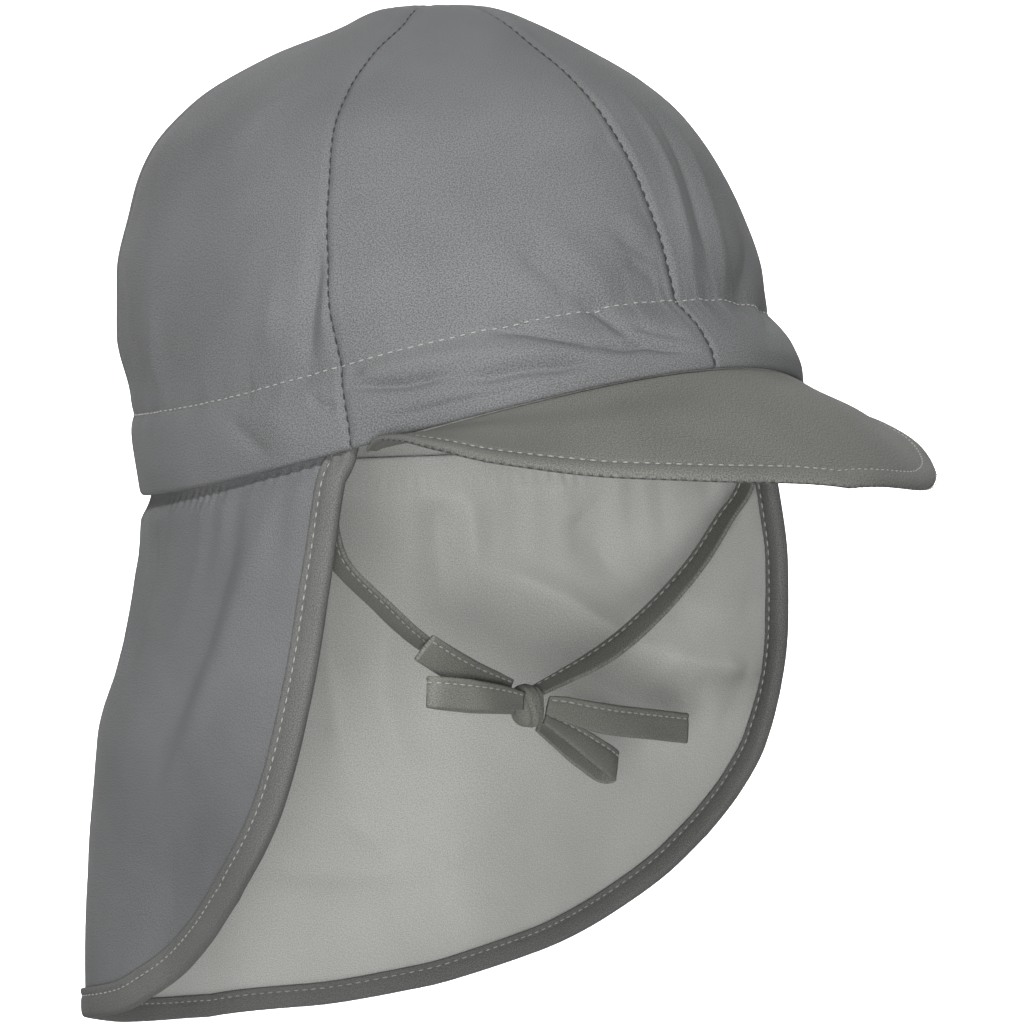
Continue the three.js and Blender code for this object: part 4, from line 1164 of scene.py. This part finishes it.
# Each tape's rows, and the directions that its width takes at its start and its end.
BOW_TAPES = [
    ("bow_loop_right", LOOP_RIGHT, (0.05, 0, 1), (0.05, 0, 1)),
    ("bow_loop_left", LOOP_LEFT, (0.4, 0.2, 1), (0.4, 0.2, 1)),
    ("bow_end_right", END_RIGHT, (0.3, 0, 1), (0.3, -0.5, 1)),
    ("bow_end_left", END_LEFT, (0.1, 0, 1), (0.1, 0.1, 1)),
]


def make_ties():
    right = tape("tie_right", TIE_RIGHT, (0, 1, -0.06), (0.05, 1, -0.22), 16, hand=-1)
    left = tape("tie_left", TIE_LEFT, (0.3, 1, 0), (0, 1, 0.35), 17)
    knot = make_knot()
    bow = {row[0]: tape(*row, 12 + k) for k, row in enumerate(BOW_TAPES)}
    for (tie, sewn, path), side, seed, extra in (
        (right, "right", 8, [knot]),
        (left, "left", 9, []),
    ):
        loop, loop_sewn, _ = bow["bow_loop_" + side]
        end, end_sewn, _ = bow["bow_end_" + side]
        lines = sewn + loop_sewn + end_sewn
        name = "tie_" + side + "_stitches"
        threads = sew(name, lines, LIGHT_THREAD, "tie_tape", 2.3, 1.7, 0.4, seed)


# Floor and light, in metres and watts.

FLOOR_HEIGHT = -0.42
FLOOR_FRONT = -3.0
FLOOR_BACK = 1.6
FLOOR_BEND = 0.8
FLOOR_TOP = 3.2
FLOOR_HALF_WIDTH = 4.0
FLOOR_SHADE = 0.42
WORLD_STRENGTH = 0.1
# Name, place, aim, size, power.
LIGHTS = [
    ("key", (-1.1, -0.75, 1.35), (0, 0, 0), 0.14, 24),
    ("low_side", (-1.15, -1.25, -0.03), (0, 0, -0.05), 0.4, 17),
    ("backdrop_right", (0.95, 0.35, 1.0), (1.95, 1.45, 0.9), 1.2, 155),
    ("backdrop_left", (-0.15, 0.95, 1.0), (0.85, 2.05, 0.9), 1.2, 155),
]


def make_stage():
    """A pale floor that bends up behind the part, away from the camera."""
    material, tree, shader = new_material("pale_floor")
    feed(tree, shader, {"Base Color": (FLOOR_SHADE, FLOOR_SHADE, FLOOR_SHADE, 1), "Roughness": 0.9})
    profile = [(FLOOR_FRONT, FLOOR_HEIGHT), (FLOOR_BACK, FLOOR_HEIGHT)]
    for k in range(1, 13):
        a = math.pi / 2 * k / 12
        up = FLOOR_BEND * (1 - math.cos(a))
        profile.append((FLOOR_BACK + FLOOR_BEND * math.sin(a), FLOOR_HEIGHT + up))
    profile.append((FLOOR_BACK + FLOOR_BEND, FLOOR_TOP))
    azimuth = math.radians(CAMERA_AZIMUTH)
    away = np.array([-math.sin(azimuth), math.cos(azimuth)])
    wide = np.array([math.cos(azimuth), math.sin(azimuth)])
    verts, faces = [], []
    for depth, height in profile:
        for side in (-FLOOR_HALF_WIDTH, FLOOR_HALF_WIDTH):
            x, y = away * depth + wide * side
            verts.append((x, y, height))
    for k in range(len(profile) - 1):
        faces.append((2 * k, 2 * k + 1, 2 * k + 3, 2 * k + 2))
    mesh = bpy.data.meshes.new("floor")
    mesh.from_pydata(verts, [], faces)
    mesh.polygons.foreach_set("use_smooth", np.ones(len(faces), bool))
    add_object("floor", mesh, [material])


def add_light(name, place, aim, size, power):
    data = bpy.data.lights.new(name, "AREA")
    data.shape = "SQUARE"
    data.size = size
    data.energy = power
    light = bpy.data.objects.new(name, data)
    bpy.context.scene.collection.objects.link(light)
    place = Vector(place)
    turn = (place - Vector(aim)).to_track_quat("Z", "Y").to_matrix().to_4x4()
    light.matrix_world = Matrix.Translation(place) @ turn


def make_light():
    world = bpy.data.worlds.new("studio")
    bpy.context.scene.world = world
    world.use_nodes = True
    sky = {"Color": (1, 1, 1, 1), "Strength": WORLD_STRENGTH}
    feed(world.node_tree, world.node_tree.nodes["Background"], sky)
    for row in LIGHTS:
        add_light(*row)
    settings = bpy.context.scene.view_settings
    settings.view_transform = "Standard"
    settings.look = "None"


make_ties()
make_crown()
make_brim()
make_flap()
make_stage()
make_light()
